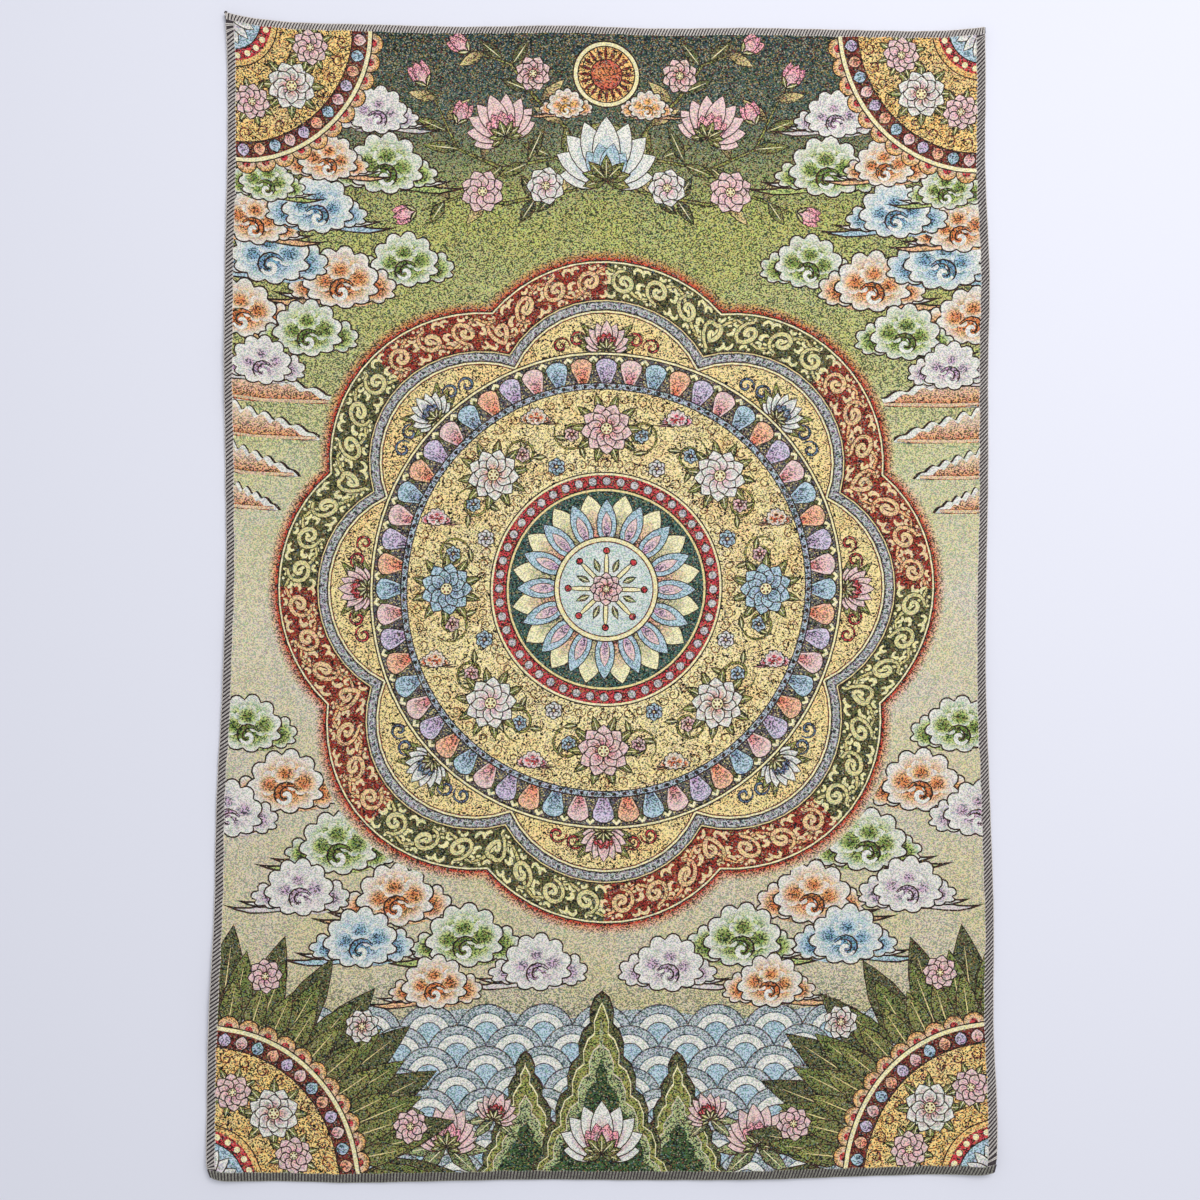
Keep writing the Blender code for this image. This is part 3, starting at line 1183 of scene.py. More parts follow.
def weave_figure():
    """The face's points in mm on the cut, its triangles, and the shape on top at each.

    The first triangulation finds which shape is on top everywhere. The second keeps only
    the outlines that show.
    """
    border = edge_points(EDGE_PITCH)
    points = list(border)
    loops = [list(range(len(border)))]
    for outline, paint in shapes:
        start = len(points)
        points += [(x + WIDTH / MM / 2, y + HEIGHT / MM / 2) for x, y in outline]
        loops.append(list(range(start, len(points))))
    places, _, triangles, _, _, from_loops = delaunay_2d_cdt(
        points, [], loops, 0, SAME_POINT, True
    )
    # Loop 0 is the cloth's own border, and the last loop round a triangle is the shape on top
    tops = [max(around_it) - 1 for around_it in from_loops if 0 in around_it]
    triangles = [triangle for triangle, around_it in zip(triangles, from_loops) if 0 in around_it]
    drawing = BVHTree.FromPolygons([(x, y, 0) for x, y in places], triangles)

    sides = straighten(places, shown_edges(triangles, tops).tolist())
    kept = sorted({point for side in sides for point in side})
    renamed = {old: new for new, old in enumerate(kept)}
    points = [tuple(places[i]) for i in kept] + inner_grid(GRID_PITCH) + margin_rows()
    places, _, triangles, _, _, _ = delaunay_2d_cdt(
        points, [(renamed[a], renamed[b]) for a, b in sides], [], 0, SAME_POINT, True
    )
    points = [(x, y) for x, y in places]
    on_top = []
    for a, b, c in triangles:
        middle = ((places[a] + places[b] + places[c]) / 3).to_3d()
        middle.z = 1
        struck = drawing.ray_cast(middle, (0, 0, -1))[2]
        on_top.append(0 if struck is None else tops[struck])
    return points, triangles, on_top


def weave_reverse(rim):
    """The reverse's inner points and its triangles, over the same rim as the face."""
    points = rim + inner_grid(REVERSE_PITCH) + margin_rows()
    _, _, triangles, from_points, _, _ = delaunay_2d_cdt(
        points, [], [list(range(len(rim)))], 1, SAME_POINT_BEHIND, True
    )
    origin = [sources[0] for sources in from_points]
    return points[len(rim):], [tuple(origin[i] for i in triangle) for triangle in triangles]


def make_cloth():
    """One closed sheet: the figured face, the plain reverse, and the cut rim between them.

    A figure this fine is part of the face's own mesh, so the face comes from a
    triangulation of the drawn outlines rather than from a subdivided primitive.
    """
    face_points, face_triangles, on_top = weave_figure()
    shares = rectangle_share(face_points)
    rim = sorted((i for i in range(len(face_points)) if shares[i] >= 0), key=lambda i: shares[i])
    reverse_points, reverse_triangles = weave_reverse([face_points[i] for i in rim])

    face = np.array(face_points) * MM
    back = np.concatenate((face[rim], np.array(reverse_points) * MM))
    under = underside(back[:, 0], back[:, 1])
    places = np.concatenate((
        lying(face[:, 0], face[:, 1], underside(face[:, 0], face[:, 1]) + CLOTH_THICKNESS),
        lying(back[:, 0], back[:, 1], under),
    ))
    offset = len(face)
    faces = list(face_triangles)
    faces += [tuple(offset + i for i in reversed(triangle)) for triangle in reverse_triangles]
    for i in range(len(rim)):
        j = (i + 1) % len(rim)
        faces.append((offset + i, offset + j, rim[j], rim[i]))

    mesh = bpy.data.meshes.new("woven_cloth")
    mesh.from_pydata(places.tolist(), [], faces)
    cloth = bpy.data.objects.new("woven_cloth", mesh)
    bpy.context.scene.collection.objects.link(cloth)

    cut = np.concatenate((face, back))
    corner_points = np.empty(len(mesh.loops), np.int32)
    mesh.loops.foreach_get("vertex_index", corner_points)
    mesh.uv_layers.new(name="cut").data.foreach_set("uv", cut[corner_points].ravel())

    colours = np.ones((len(mesh.loops), 4), np.float32)
    gold, scrolls, mingled = np.zeros((3, len(mesh.loops)), np.float32)
    corner = 0
    for triangle, shape in zip(face_triangles, on_top):
        paint = shapes[shape][1]
        for point in triangle:
            x = face_points[point][0] - WIDTH / MM / 2
            y = face_points[point][1] - HEIGHT / MM / 2
            red, green, blue, gold[corner], scrolls[corner], mingled[corner] = paint(x, y)
            colours[corner, :3] = (red, green, blue)
            corner += 1
    colours[corner:, :3] = linear(CREAM)
    mesh.attributes.new("figure", "FLOAT_COLOR", "CORNER").data.foreach_set("color", colours.ravel())
    for name, shares in (("gilt", gold), ("tracery", scrolls), ("mingled", mingled)):
        mesh.attributes.new(name, "FLOAT", "CORNER").data.foreach_set("value", shares)

    slots = np.ones(len(mesh.polygons), np.int32)
    slots[: len(face_triangles)] = 0
    mesh.materials.append(brocade_face())
    mesh.materials.append(brocade_reverse())
    mesh.polygons.foreach_set("material_index", slots)
    mesh.shade_smooth()
    mesh.set_sharp_from_angle(angle=CRISP_ANGLE)
    return cloth


# The overlocked edge. A stitch is modelled straight, with X along the side, Y in from the
# edge and Z off the surface, then copied along, leaned and laid round the cloth's edge.

# Side: pitch, lean from the needle line out to the edge, bow of the two threads, thread radius
STITCHES = {
    "bottom": (2.42 * MM, -2.0 * MM, 0.10 * MM, 0.25 * MM),
    "right": (3.25 * MM, 6.6 * MM, 0.00 * MM, 0.27 * MM),
    "top": (2.36 * MM, -3.0 * MM, 0.03 * MM, 0.28 * MM),
    "left": (3.15 * MM, 7.2 * MM, 0.00 * MM, 0.28 * MM),
}
THREAD_SIDES = 6

# The lean grows from nothing at a corner to its whole within this reach
FAN_REACH = 9 * MM

# The two side runs stop this far from the level ones
END_CLEARANCE = 0.3 * MM

# Step and wall of the strip of packed threads
STRIP_STEP = 4 * MM
STRIP_WALL = 0.06 * MM
CLOTH_TOP = EDGE_INSET + CLOTH_THICKNESS


def deselect():
    bpy.ops.object.select_all(action="DESELECT")


def join(pieces, name):
    """Joins objects into the first of them."""
    deselect()
    for piece in pieces:
        piece.select_set(True)
    bpy.context.view_layer.objects.active = pieces[0]
    bpy.ops.object.join()
    bpy.ops.object.transform_apply(location=True, rotation=True, scale=True)
    pieces[0].name = name
    pieces[0].data.name = name
    return pieces[0]


def lay_thread(path, radius):
    """A round thread over the edge: a circle extruded from point to point and turned on its way."""
    deselect()
    runs = [(b[1] - a[1], b[2] - a[2]) for a, b in zip(path, path[1:])]
    headings = np.unwrap([math.atan2(up, inwards) for inwards, up in runs])
    between = [(a + b) / 2 for a, b in zip(headings, headings[1:])]
    headings = [headings[0]] + between + [headings[-1]]
    bpy.ops.mesh.primitive_circle_add(
        vertices=THREAD_SIDES, radius=radius, location=path[0], rotation=(headings[0] - math.pi / 2, 0, 0)
    )
    thread = bpy.context.object
    bpy.ops.object.mode_set(mode="EDIT")
    bpy.ops.mesh.select_all(action="SELECT")
    for step in range(1, len(path)):
        move = [b - a for a, b in zip(path[step - 1], path[step])]
        bpy.ops.mesh.extrude_region_move(TRANSFORM_OT_translate={"value": move})
        # With no window this operator turns the other way
        bpy.ops.transform.rotate(
            value=headings[step - 1] - headings[step], orient_axis="X", center_override=path[step]
        )
    bpy.ops.object.mode_set(mode="OBJECT")
    return thread


def lay_grain(place, size):
    """A short stitch seen end to end, plump in the middle."""
    deselect()
    bpy.ops.mesh.primitive_uv_sphere_add(segments=THREAD_SIDES, ring_count=4, radius=1, location=place)
    bpy.ops.transform.rotate(value=math.pi / 2, orient_axis="Y", center_override=place)
    bpy.ops.object.transform_apply(location=False, rotation=True, scale=False)
    bpy.ops.transform.resize(value=size, center_override=place)
    return bpy.context.object


def one_stitch(side):
    """Two threads that go over the edge together, the needle's stitch and the rim's loop."""
    pitch, lean, bow, radius = STITCHES[side]
    band = BAND_WIDTH[side]
    # inset, height
    section = (
        (band + 0.1 * MM, CLOTH_TOP + 0.05 * MM),
        (band - 1.0 * MM, CLOTH_TOP + radius + 0.10 * MM),
        (band * 0.5, CLOTH_TOP + radius + 0.17 * MM),
        (1.0 * MM, CLOTH_TOP + radius + 0.10 * MM),
        (0.44 * MM, CLOTH_TOP + 0.12 * MM),
        (0.32 * MM, CLOTH_TOP - 0.55 * MM),
        (0.42 * MM, EDGE_INSET - 0.17 * MM),
        (1.3 * MM, EDGE_INSET - 0.34 * MM),
        (band - 0.6 * MM, EDGE_INSET - 0.34 * MM),
    )
    slope = math.hypot(1, lean / band)
    threads = []
    for hand in (-1, 1):
        path = []
        for inset_here, height in section:
            across = radius + bow * math.sin(math.pi * min(inset_here / band, 1))
            path.append((hand * across * slope, inset_here, height))
        threads.append(lay_thread(path, radius))
    needle = lay_grain((0, band + 0.10 * MM, CLOTH_TOP + 0.10 * MM), (pitch * 0.36, 0.30 * MM, 0.26 * MM))
    rim = lay_grain((pitch * 0.5, 0.40 * MM, CLOTH_TOP - 0.1 * MM), (pitch * 0.30, 0.38 * MM, 0.52 * MM))
    threads += [needle, rim]
    for thread in threads:
        thread.data.materials.append(thread_of(side))
    return join(threads, "stitch_" + side)


def side_run(side):
    """Where a side's run of stitches starts and ends: the two level sides go to the corners."""
    if side in ("bottom", "top"):
        return 0, WIDTH
    start, end = ("bottom", "top") if side == "right" else ("top", "bottom")
    return BAND_WIDTH[start] + END_CLEARANCE, HEIGHT - BAND_WIDTH[end] - END_CLEARANCE


def under_strip(side):
    """The looper's packed threads under the stitches, near black from their own dark tone and painted
    shade: a thin folded strip round the cloth's edge.
    """
    start, end = side_run(side)
    band = BAND_WIDTH[side]
    # inset, height
    profile = (
        (band - 0.2 * MM, EDGE_INSET - 0.12 * MM),
        (0.9 * MM, EDGE_INSET - 0.12 * MM),
        (0.58 * MM, EDGE_INSET + 0.05 * MM),
        (0.58 * MM, CLOTH_TOP - 0.02 * MM),
        (0.9 * MM, CLOTH_TOP + 0.15 * MM),
        (band - 0.2 * MM, CLOTH_TOP + 0.15 * MM),
    )
    deselect()
    steps = round((end - start) / STRIP_STEP)
    bpy.ops.mesh.primitive_grid_add(x_subdivisions=steps, y_subdivisions=len(profile) - 1, size=1)
    strip = bpy.context.object
    for vertex in strip.data.vertices:
        inset_here, height = profile[round((vertex.co.y + 0.5) * (len(profile) - 1))]
        vertex.co = (start + (end - start) * (vertex.co.x + 0.5), inset_here, height)
    wall = strip.modifiers.new("wall", "SOLIDIFY")
    wall.thickness = STRIP_WALL
    wall.offset = -1
    wall.use_even_offset = True
    bpy.ops.object.modifier_apply(modifier=wall.name)
    # Near black: the dark looper thread, with painted shade from the stitches over it
    strip.data.materials.append(looper_thread_and_shade())
    return strip


def on_side(side, along, inset_here):
    """The flat cut's across and up at a distance along a side, walking anticlockwise."""
    return {
        "bottom": (along, inset_here),
        "right": (WIDTH - inset_here, along),
        "top": (WIDTH - along, HEIGHT - inset_here),
        "left": (inset_here, HEIGHT - along),
    }[side]


def lay_on_cloth(piece, side):
    """Leans a straight run of stitches and lays it round the cloth's edge."""
    lean = STITCHES[side][1]
    start, end = side_run(side)
    band = BAND_WIDTH[side]
    places = np.empty(len(piece.data.vertices) * 3)
    piece.data.vertices.foreach_get("co", places)
    along, inset_here, height = places.reshape(-1, 3).T
    # The lean dies away towards the corners and turns back under the cloth
    fan = np.clip(np.minimum(along - start, end - along) / FAN_REACH, 0, 1)
    face = np.clip((height - EDGE_INSET) / CLOTH_THICKNESS, -0.3, 1)
    along = along + lean * (1 - np.clip(inset_here / band, 0, 1)) * fan * face
    # Hand-fed cloth gives stitches that wander a little in spacing, then in bite
    along = along + 0.12 * MM * np.sin(along / (3.1 * MM)) * fan
    inset_here = inset_here * (1 + 0.035 * np.sin(along / (4.3 * MM)) + 0.025 * np.sin(along / (17 * MM)))
    along = np.clip(along, start, end)
    across, up = on_side(side, along, inset_here)
    piece.data.vertices.foreach_set("co", lying(across, up, height).ravel())
    piece.data.update()


def make_overlock(side):
    """One side of the overlocked edge: its stitches over their packed threads."""
    pitch = STITCHES[side][0]
    start, end = side_run(side)
    stitch = one_stitch(side)
    count = int((end - start) / pitch)
    row = stitch.modifiers.new("row", "ARRAY")
    row.use_relative_offset = False
    row.use_constant_offset = True
    row.constant_offset_displace = (pitch, 0, 0)
    row.count = count
    bpy.ops.object.modifier_apply(modifier=row.name)
    bpy.ops.transform.translate(value=((start + end - pitch * (count - 1)) / 2, 0, 0))
    bpy.ops.object.transform_apply(location=True, rotation=False, scale=False)
    bpy.ops.object.shade_smooth()
    overlock = join([stitch, under_strip(side)], "overlock_" + side)
    lay_on_cloth(overlock, side)
    return overlock


# The knot's middle, in from the left edge, down from the top and up from the floor, and its thread
KNOT_IN = 1.2 * MM
KNOT_DOWN = 0.9 * MM
KNOT_UP = 1.5 * MM
KNOT_THREAD = 0.36 * MM

# Place in mm from the knot's middle, tilt, radius in mm, of the pale thread or not
KNOT_LOOPS = (
    ((0, 0, 0.3), (0.5, 0.3, 0), 1.0, False),
    ((-0.5, 0.5, 0.1), (1.2, 0.9, 0.4), 0.9, False),
    ((0.5, 0.1, 0), (0.2, 1.3, 0.9), 0.9, False),
    ((0.3, -1.2, 0.2), (0.2, 0.1, 0), 1.2, True),
)


def make_corner_knot():
    """The thread chain's end, drawn into a small knot at the top left corner."""
    middle = lying(np.array([KNOT_IN]), np.array([HEIGHT - KNOT_DOWN]), np.array([KNOT_UP]))[0]
    rings = []
    for move, tilt, reach, pale in KNOT_LOOPS:
        deselect()
        bpy.ops.mesh.primitive_torus_add(
            major_segments=12, minor_segments=6, major_radius=reach * MM, minor_radius=KNOT_THREAD,
            location=tuple(middle + np.array(move) * MM), rotation=tilt,
        )
        ring = bpy.context.object
        bpy.ops.object.shade_smooth()
        ring.data.materials.append(overlock_thread() if pale else looper_thread_and_shade())
        rings.append(ring)
    return rings


# Materials

def once(make):
    """Keeps a material's first copy, so that each piece shares it."""
    kept = []

    def made():
        if not kept:
            kept.append(make())
        return kept[0]

    return made


def feed(tree, node, inputs):
    """Fills a node's inputs, each with a value, an sRGB hex colour, or the node or output that feeds it."""
    for socket, source in inputs.items():
        if isinstance(source, str):
            source = (*linear(source), 1)
        if isinstance(source, bpy.types.Node):
            source = next(output for output in source.outputs if output.enabled)
        if isinstance(source, bpy.types.NodeSocket):
            tree.links.new(source, node.inputs[socket])
        else:
            node.inputs[socket].default_value = source


def add(tree, kind, inputs, **settings):
    """Adds a node with its settings, its input values and its links."""
    new = tree.nodes.new("ShaderNode" + kind)
    for name, setting in settings.items():
        setattr(new, name, setting)
    feed(tree, new, inputs)
    return new


def start_material(name):
    """A material with a Principled shader, and its node tree."""
    material = bpy.data.materials.new(name)
    material.use_nodes = True
    return material, material.node_tree, material.node_tree.nodes["Principled BSDF"]


# The real weave is too fine to show in the render, so it is drawn about twice as coarse: a point
# of this size stands for about two threads each way
WEAVE_ACROSS = 0.88 * MM
WEAVE_UP = 0.70 * MM
THREADS_A_POINT = 2
THREAD_RELIEF = 0.2 * MM
FIBRE_RELIEF = 0.1 * MM

# Scales per metre: the patches of the gold and of the ground are about 38 and 59 mm across, the
# ground's curls 12 mm with bends of 17 mm, and a thread's shades 8 mm, slubs 1.1 mm and fibres 0.24 mm
GOLD_DRIFT = 26.0
GROUND_DRIFT = 17.0
CURLS = 85.0
BENDS = 60.0
DYE_LOTS = 130.0
SLUBS = 900.0
FIBRES = 4200.0

# Wefts that come up as strays
STRAY_THREADS = ("#c9a95c", "#263534", "#8c3f34", "#d3cbae", "#5c7a8c", "#7d8748")


def weave_points(tree, cut):
    """The weave's binding points: each one's own random numbers, and the relief of its threads."""
    parts = add(tree, "SeparateXYZ", {0: cut}).outputs
    up = add(tree, "Math", {0: parts[1], 1: WEAVE_UP}, operation="DIVIDE")
    row = add(tree, "Math", {0: up}, operation="FLOOR")
    start = add(tree, "TexWhiteNoise", {"W": row}, noise_dimensions="1D")
    across = add(tree, "Math", {0: parts[0], 1: WEAVE_ACROSS}, operation="DIVIDE")
    across = add(tree, "Math", {0: across, 1: start}, operation="ADD")
    column = add(tree, "Math", {0: across}, operation="FLOOR")
    point = add(tree, "CombineXYZ", {0: column, 1: row})
    random = add(tree, "TexWhiteNoise", {"Vector": point}, noise_dimensions="2D").outputs["Color"]
    numbers = add(tree, "SeparateColor", {0: random}).outputs
    thread = add(tree, "Math", {0: up, 1: THREADS_A_POINT}, operation="MULTIPLY")
    thread = add(tree, "Math", {0: thread, 1: 0.5}, operation="PINGPONG")
    thread = add(tree, "MapRange", {0: thread, 2: 0.5}, interpolation_type="SMOOTHERSTEP")
    binding = add(tree, "Math", {0: across, 1: 0.5}, operation="PINGPONG")
    binding = add(tree, "MapRange", {0: binding, 2: 0.25})
    binding = add(tree, "MapRange", {0: binding, 3: 0.5})
    relief = add(tree, "Math", {0: thread, 1: binding}, operation="MULTIPLY")
    return numbers, relief, random


def scroll_lines(tree, cut):
    """Fine curling lines: rings that run round scattered eyes, and the creases between them."""
    bent = add(tree, "TexNoise", {"Vector": cut, "Scale": BENDS, "Detail": 1.0}).outputs["Color"]
    place = add(tree, "Mix", {0: 0.012, 6: cut, 7: bent}, data_type="RGBA", blend_type="ADD")
    eyes, creases = (
        add(tree, "TexVoronoi", {"Vector": place, "Scale": CURLS}, feature=feature)
        for feature in ("F1", "DISTANCE_TO_EDGE")
    )
    rings = add(tree, "Math", {0: eyes, 1: 4.4}, operation="MULTIPLY")
    rings = add(tree, "Math", {0: rings, 1: 0.5}, operation="PINGPONG")
    rings = add(tree, "MapRange", {0: rings, 1: 0.06, 2: 0.2, 3: 1.0, 4: 0.0})
    creases = add(tree, "MapRange", {0: creases, 1: 0.03, 2: 0.07, 3: 1.0, 4: 0.0})
    return add(tree, "Math", {0: rings, 1: creases}, operation="MAXIMUM")


def brocade_face():
    """Jacquard brocade, woven of matt polyester wefts with a metallic gold thread.

    Each binding point has its own tone, so the cloth reads as a fine speckle with strays of
    other wefts in it, and it glints softly where the gold thread lies on top.
    """
    material, tree, shader = start_material("jacquard_brocade_face")
    cut = add(tree, "UVMap", {}, uv_map="cut")
    figure = add(tree, "Attribute", {}, attribute_name="figure")
    gilt, tracery, mingled = (
        add(tree, "Attribute", {}, attribute_name=name).outputs["Fac"]
        for name in ("gilt", "tracery", "mingled")
    )
    numbers, relief, hue = weave_points(tree, cut)

    # Gold grounds drift between yellow, orange and greyed gold, as the wefts behind them change
    drift = add(tree, "TexNoise", {"Vector": cut, "Scale": GOLD_DRIFT})
    greyed = add(tree, "MapRange", {0: drift, 1: 0.5, 2: 0.68, 4: 0.5})
    drifted = add(tree, "Mix", {0: greyed, 6: figure, 7: "#9a927c"}, data_type="RGBA")
    orange = add(tree, "MapRange", {0: drift, 1: 0.5, 2: 0.34, 4: 0.55})
    drifted = add(tree, "Mix", {0: orange, 6: drifted, 7: "#bd7f42"}, data_type="RGBA")
    share = add(tree, "Math", {0: tracery, 1: 0.8}, operation="MULTIPLY")
    colour = add(tree, "Mix", {0: share, 6: figure, 7: drifted}, data_type="RGBA")

    # The ground drifts between a yellower and a bluer cast, where its wefts take turns
    turns = add(tree, "TexNoise", {"Vector": cut, "Scale": GROUND_DRIFT})
    turns = add(tree, "MapRange", {0: turns, 1: 0.40, 2: 0.60})
    cast = add(tree, "Mix", {0: turns, 6: "#b3bdc4", 7: "#c2c3a2"}, data_type="RGBA")
    share = add(tree, "MapRange", {0: mingled, 1: 0.6, 4: 0.35})
    colour = add(tree, "Mix", {0: share, 6: colour, 7: cast}, data_type="RGBA", blend_type="OVERLAY")

    # The curling lines of the ground, in brown weft
    curls = add(tree, "Math", {0: scroll_lines(tree, cut), 1: tracery}, operation="MULTIPLY")
    share = add(tree, "Math", {0: curls, 1: 0.6}, operation="MULTIPLY")
    colour = add(tree, "Mix", {0: share, 6: colour, 7: "#5c4125"}, data_type="RGBA")

    # A jacquard makes its middle tones by mingling dark wefts with light ones, so these are the
    # most speckled, and white and cream are calm
    bright = add(tree, "RGBToBW", {0: colour})
    mingling = add(tree, "MapRange", {0: bright, 1: 0.32, 2: 0.60, 3: 0.76, 4: 0.22})
    darkest = add(tree, "MapRange", {0: bright, 1: 0.04, 2: 0.20, 3: 0.10, 4: 0.0})
    contrast = add(tree, "Math", {0: mingling, 1: darkest}, operation="ADD")
    more = add(tree, "MapRange", {0: tracery, 3: 1.0, 4: 2.1})
    contrast = add(tree, "Math", {0: contrast, 1: more}, operation="MULTIPLY")
    lit = add(tree, "Math", {0: numbers[0], 1: 0.45}, operation="LESS_THAN")
    swing = add(tree, "MapRange", {0: lit, 3: 0.9, 4: -1.1})
    tone = add(tree, "Math", {0: contrast, 1: swing, 2: 1.0}, operation="MULTIPLY_ADD")
    colour = add(tree, "Mix", {0: 1.0, 6: colour, 7: tone}, data_type="RGBA", blend_type="MULTIPLY")
    colour = add(tree, "Mix", {0: 0.3, 6: colour, 7: hue}, data_type="RGBA", blend_type="OVERLAY")

    # Binding points of other wefts that come up through the figure
    ramp = add(tree, "ValToRGB", {0: numbers[1]})
    ramp.color_ramp.interpolation = "CONSTANT"
    for index, stray in enumerate(STRAY_THREADS):
        stops = ramp.color_ramp.elements
        stop = stops[index] if index < 2 else stops.new(index / len(STRAY_THREADS))
        stop.position = index / len(STRAY_THREADS)
        stop.color = (*linear(stray), 1)
    share = add(tree, "MapRange", {0: bright, 1: 0.05, 2: 0.5, 3: 0.45, 4: 0.2})
    share = add(tree, "Math", {0: mingled, 1: share}, operation="MULTIPLY")
    limit = add(tree, "Math", {0: 1.0, 1: share}, operation="SUBTRACT")
    strays = add(tree, "Math", {0: numbers[2], 1: limit}, operation="GREATER_THAN")
    strength = add(tree, "MapRange", {0: bright, 1: 0.05, 2: 0.5, 3: 0.6, 4: 0.25})
    share = add(tree, "Math", {0: strays, 1: strength}, operation="MULTIPLY")
    colour = add(tree, "Mix", {0: share, 6: colour, 7: ramp}, data_type="RGBA")

    # Gold thread lies over some of the points of a gilt shape, and glints
    share = add(tree, "Math", {0: gilt, 1: 0.5}, operation="MULTIPLY")
    clear = add(tree, "Math", {0: curls, 1: 0.85}, operation="MULTIPLY")
    clear = add(tree, "Math", {0: 1.0, 1: clear}, operation="SUBTRACT")
    share = add(tree, "Math", {0: share, 1: clear}, operation="MULTIPLY")
    gold = add(tree, "Math", {0: numbers[2], 1: share}, operation="LESS_THAN")
    share = add(tree, "Math", {0: gold, 1: 0.72}, operation="MULTIPLY")
    colour = add(tree, "Mix", {0: share, 6: colour, 7: "#fae8a0"}, data_type="RGBA")
    metallic = add(tree, "Math", {0: gold, 1: 0.55}, operation="MULTIPLY")
    roughness = add(tree, "MapRange", {0: gold, 3: 0.78, 4: 0.42})

    # Painted shade darkens the thin line between two threads, and a faint painted highlight lifts their
    # crowns, following the threads' relief
    tone = add(tree, "MapRange", {0: relief, 2: 0.4, 3: 0.72, 4: 1.04})
    colour = add(tree, "Mix", {0: 1.0, 6: colour, 7: tone}, data_type="RGBA", blend_type="MULTIPLY")
    height = add(tree, "MapRange", {0: numbers[0], 3: 0.6})
    height = add(tree, "Math", {0: relief, 1: height}, operation="MULTIPLY")
    bump = add(tree, "Bump", {"Height": height, "Strength": 0.5, "Distance": THREAD_RELIEF})
    feed(tree, shader, {"Base Color": colour, "Metallic": metallic, "Roughness": roughness})
    feed(tree, shader, {"Specular IOR Level": 0.3, "Normal": bump})
    return material


def brocade_reverse():
    """The brocade's reverse: the wefts that the figure doesn't use float across it.

    That gives the eye muted stripes with no figure, and no glint.
    """
    material, tree, shader = start_material("jacquard_brocade_reverse")
    cut = add(tree, "UVMap", {}, uv_map="cut")
    numbers, relief = weave_points(tree, cut)[:2]
    floats = add(tree, "Mapping", {"Vector": cut, "Scale": (60, 900, 1)})
    streaks = add(tree, "TexNoise", {"Vector": floats, "Scale": 1.0})
    share = add(tree, "MapRange", {0: streaks, 1: 0.35, 2: 0.65})
    colour = add(tree, "Mix", {0: share, 6: "#6f6553", 7: "#b3a78a"}, data_type="RGBA")
    for number, stray in ((numbers[1], "#7b4a3a"), (numbers[2], "#4c5c54")):
        share = add(tree, "MapRange", {0: number, 1: 0.8, 2: 0.82, 4: 0.6})
        colour = add(tree, "Mix", {0: share, 6: colour, 7: stray}, data_type="RGBA")
    tone = add(tree, "MapRange", {0: numbers[0], 3: 0.7, 4: 1.2})
    colour = add(tree, "Mix", {0: 1.0, 6: colour, 7: tone}, data_type="RGBA", blend_type="MULTIPLY")
    bump = add(tree, "Bump", {"Height": relief, "Strength": 0.5, "Distance": THREAD_RELIEF})
    feed(tree, shader, {"Base Color": colour, "Roughness": 0.8, "Normal": bump})
    return material


def spun_thread(name, light, dark):
    """Spun polyester sewing thread, twisted of short fibres.

    It is matt with a faint fuzz, and slubs of lighter and darker fibre lie along it.
    """
    material, tree, shader = start_material(name)
    place = add(tree, "TexCoord", {}).outputs["Object"]
    slubs, shade, fibres = (
        add(tree, "TexNoise", {"Vector": place, "Scale": scale, "Detail": detail})
        for scale, detail in ((SLUBS, 3.0), (DYE_LOTS, 1.0), (FIBRES, 1.0))
    )
    share = add(tree, "MapRange", {0: slubs, 1: 0.35, 2: 0.65})
    colour = add(tree, "Mix", {0: share, 6: dark, 7: light}, data_type="RGBA")
    share = add(tree, "MapRange", {0: shade, 1: 0.45, 2: 0.7, 4: 0.35})
    colour = add(tree, "Mix", {0: share, 6: colour, 7: dark}, data_type="RGBA")
    bump = add(tree, "Bump", {"Height": fibres, "Strength": 0.4, "Distance": FIBRE_RELIEF})
    feed(tree, shader, {"Base Color": colour, "Roughness": 0.85, "Sheen Weight": 0.15, "Normal": bump})
    return material


@once
def overlock_thread():
    """The pale thread of three sides, which the gaps under it turn to taupe grey from a step away."""
    return spun_thread("spun_polyester_thread", "#f4eee8", "#c4b9b1")


@once
def shaded_foot_thread():
    """The same thread on the foot, drawn darker and with an olive cast: the darkening is painted shade over
    that edge.
    """
    return spun_thread("spun_polyester_thread_olive_painted_shade", "#b0ada0", "#7c7a6e")


def thread_of(side):
    """The foot's run gets a darker copy of the thread of the other three, as painted shade."""
    return shaded_foot_thread() if side == "bottom" else overlock_thread()


@once
def looper_thread_and_shade():
    """The looper's dark thread, packed under the stitches: its near-black tone is partly its own colour and
    partly painted shade from the stitches over it.
    """
    return spun_thread("packed_looper_thread_and_painted_shade", "#463c40", "#262022")


# Stage, light and camera

# The photograph is taken from nearly straight above, leaning a little from the foot of the panel:
# metres from what it looks at, the sine of its lean, and the place that it looks at
VIEW_DISTANCE = 1.0916
VIEW_LEAN = 0.0399
VIEW_MIDDLE = (-0.002, -0.00915, 0)
LENS_MM = 42
FILM_MM = 36

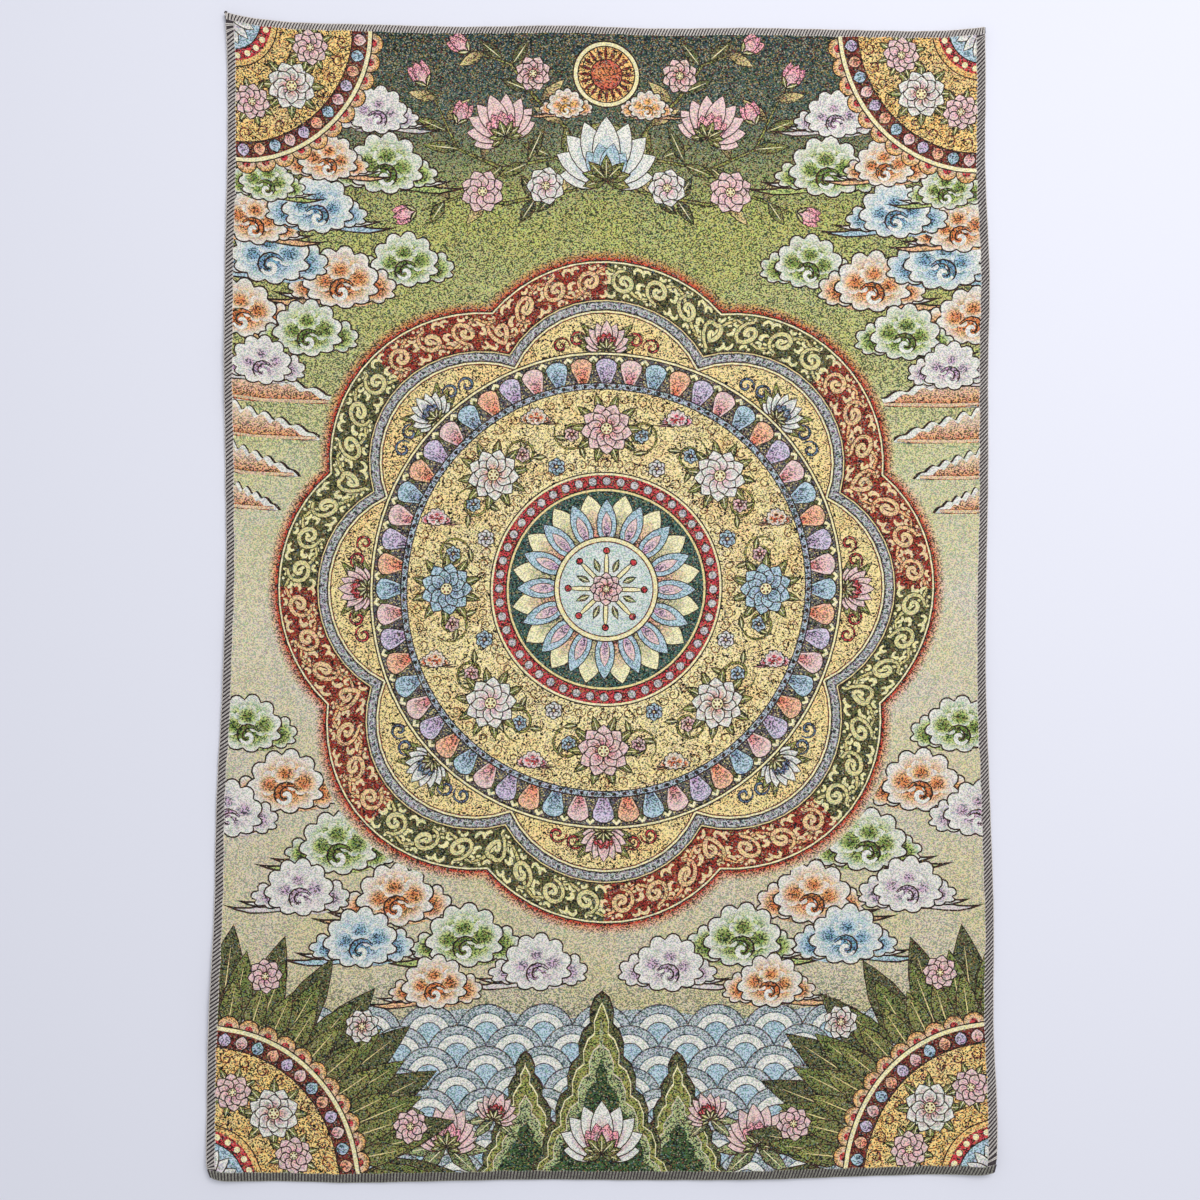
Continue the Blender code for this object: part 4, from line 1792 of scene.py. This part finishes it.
FLOOR_SIZE = 6
FLOOR_DROP = 0.1 * MM
ROOM_COLOUR = (0.93, 0.96, 1, 1)
ROOM_STRENGTH = 0.62

# One soft lamp above the top right of the panel
LAMP_PLACE = (0.65, 0.78, 1.8)
LAMP_TURN = (-0.387, 0.3465, 0)
LAMP_SIZE = 1.2
LAMP_POWER = 23


def make_stage():
    """A plain pale floor, an evenly lit room and one soft lamp."""
    bpy.ops.mesh.primitive_plane_add(size=FLOOR_SIZE, location=(0, 0, -FLOOR_DROP))
    floor = bpy.context.object
    floor.name = "floor"
    material, tree, shader = start_material("pale_floor")
    feed(tree, shader, {"Base Color": "#e4e4ee", "Roughness": 0.9})
    floor.data.materials.append(material)

    world = bpy.context.scene.world or bpy.data.worlds.new("soft_room")
    bpy.context.scene.world = world
    world.use_nodes = True
    sky = world.node_tree.nodes["Background"].inputs
    sky["Color"].default_value = ROOM_COLOUR
    sky["Strength"].default_value = ROOM_STRENGTH

    bpy.ops.object.light_add(type="AREA", location=LAMP_PLACE, rotation=LAMP_TURN)
    lamp = bpy.context.object.data
    lamp.shape = "DISK"
    lamp.size = LAMP_SIZE
    lamp.energy = LAMP_POWER


def make_camera():
    """The camera at the photograph's viewing angle."""
    data = bpy.data.cameras.new("camera")
    data.lens = LENS_MM
    data.sensor_width = FILM_MM
    camera = bpy.data.objects.new("camera", data)
    bpy.context.scene.collection.objects.link(camera)
    rise = math.sqrt(1 - VIEW_LEAN**2)
    camera.location = (VIEW_MIDDLE[0], VIEW_MIDDLE[1] - VIEW_DISTANCE * VIEW_LEAN, VIEW_DISTANCE * rise)
    camera.rotation_euler = (math.asin(VIEW_LEAN), 0, 0)
    bpy.context.scene.camera = camera


def main():
    """Makes the stage and every piece, and hides the solid that each one replaces."""
    bpy.context.scene.view_settings.view_transform = "Standard"
    make_stage()
    make_camera()
    draw_figure()
    cloth = make_cloth()
    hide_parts("cloth")
    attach(cloth, "root")
    for side in STITCHES:
        overlock = make_overlock(side)
        if side == "top":
            overlock = join([overlock] + make_corner_knot(), "overlock_top")
        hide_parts("edging_" + side)
        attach(overlock, "root")


main()
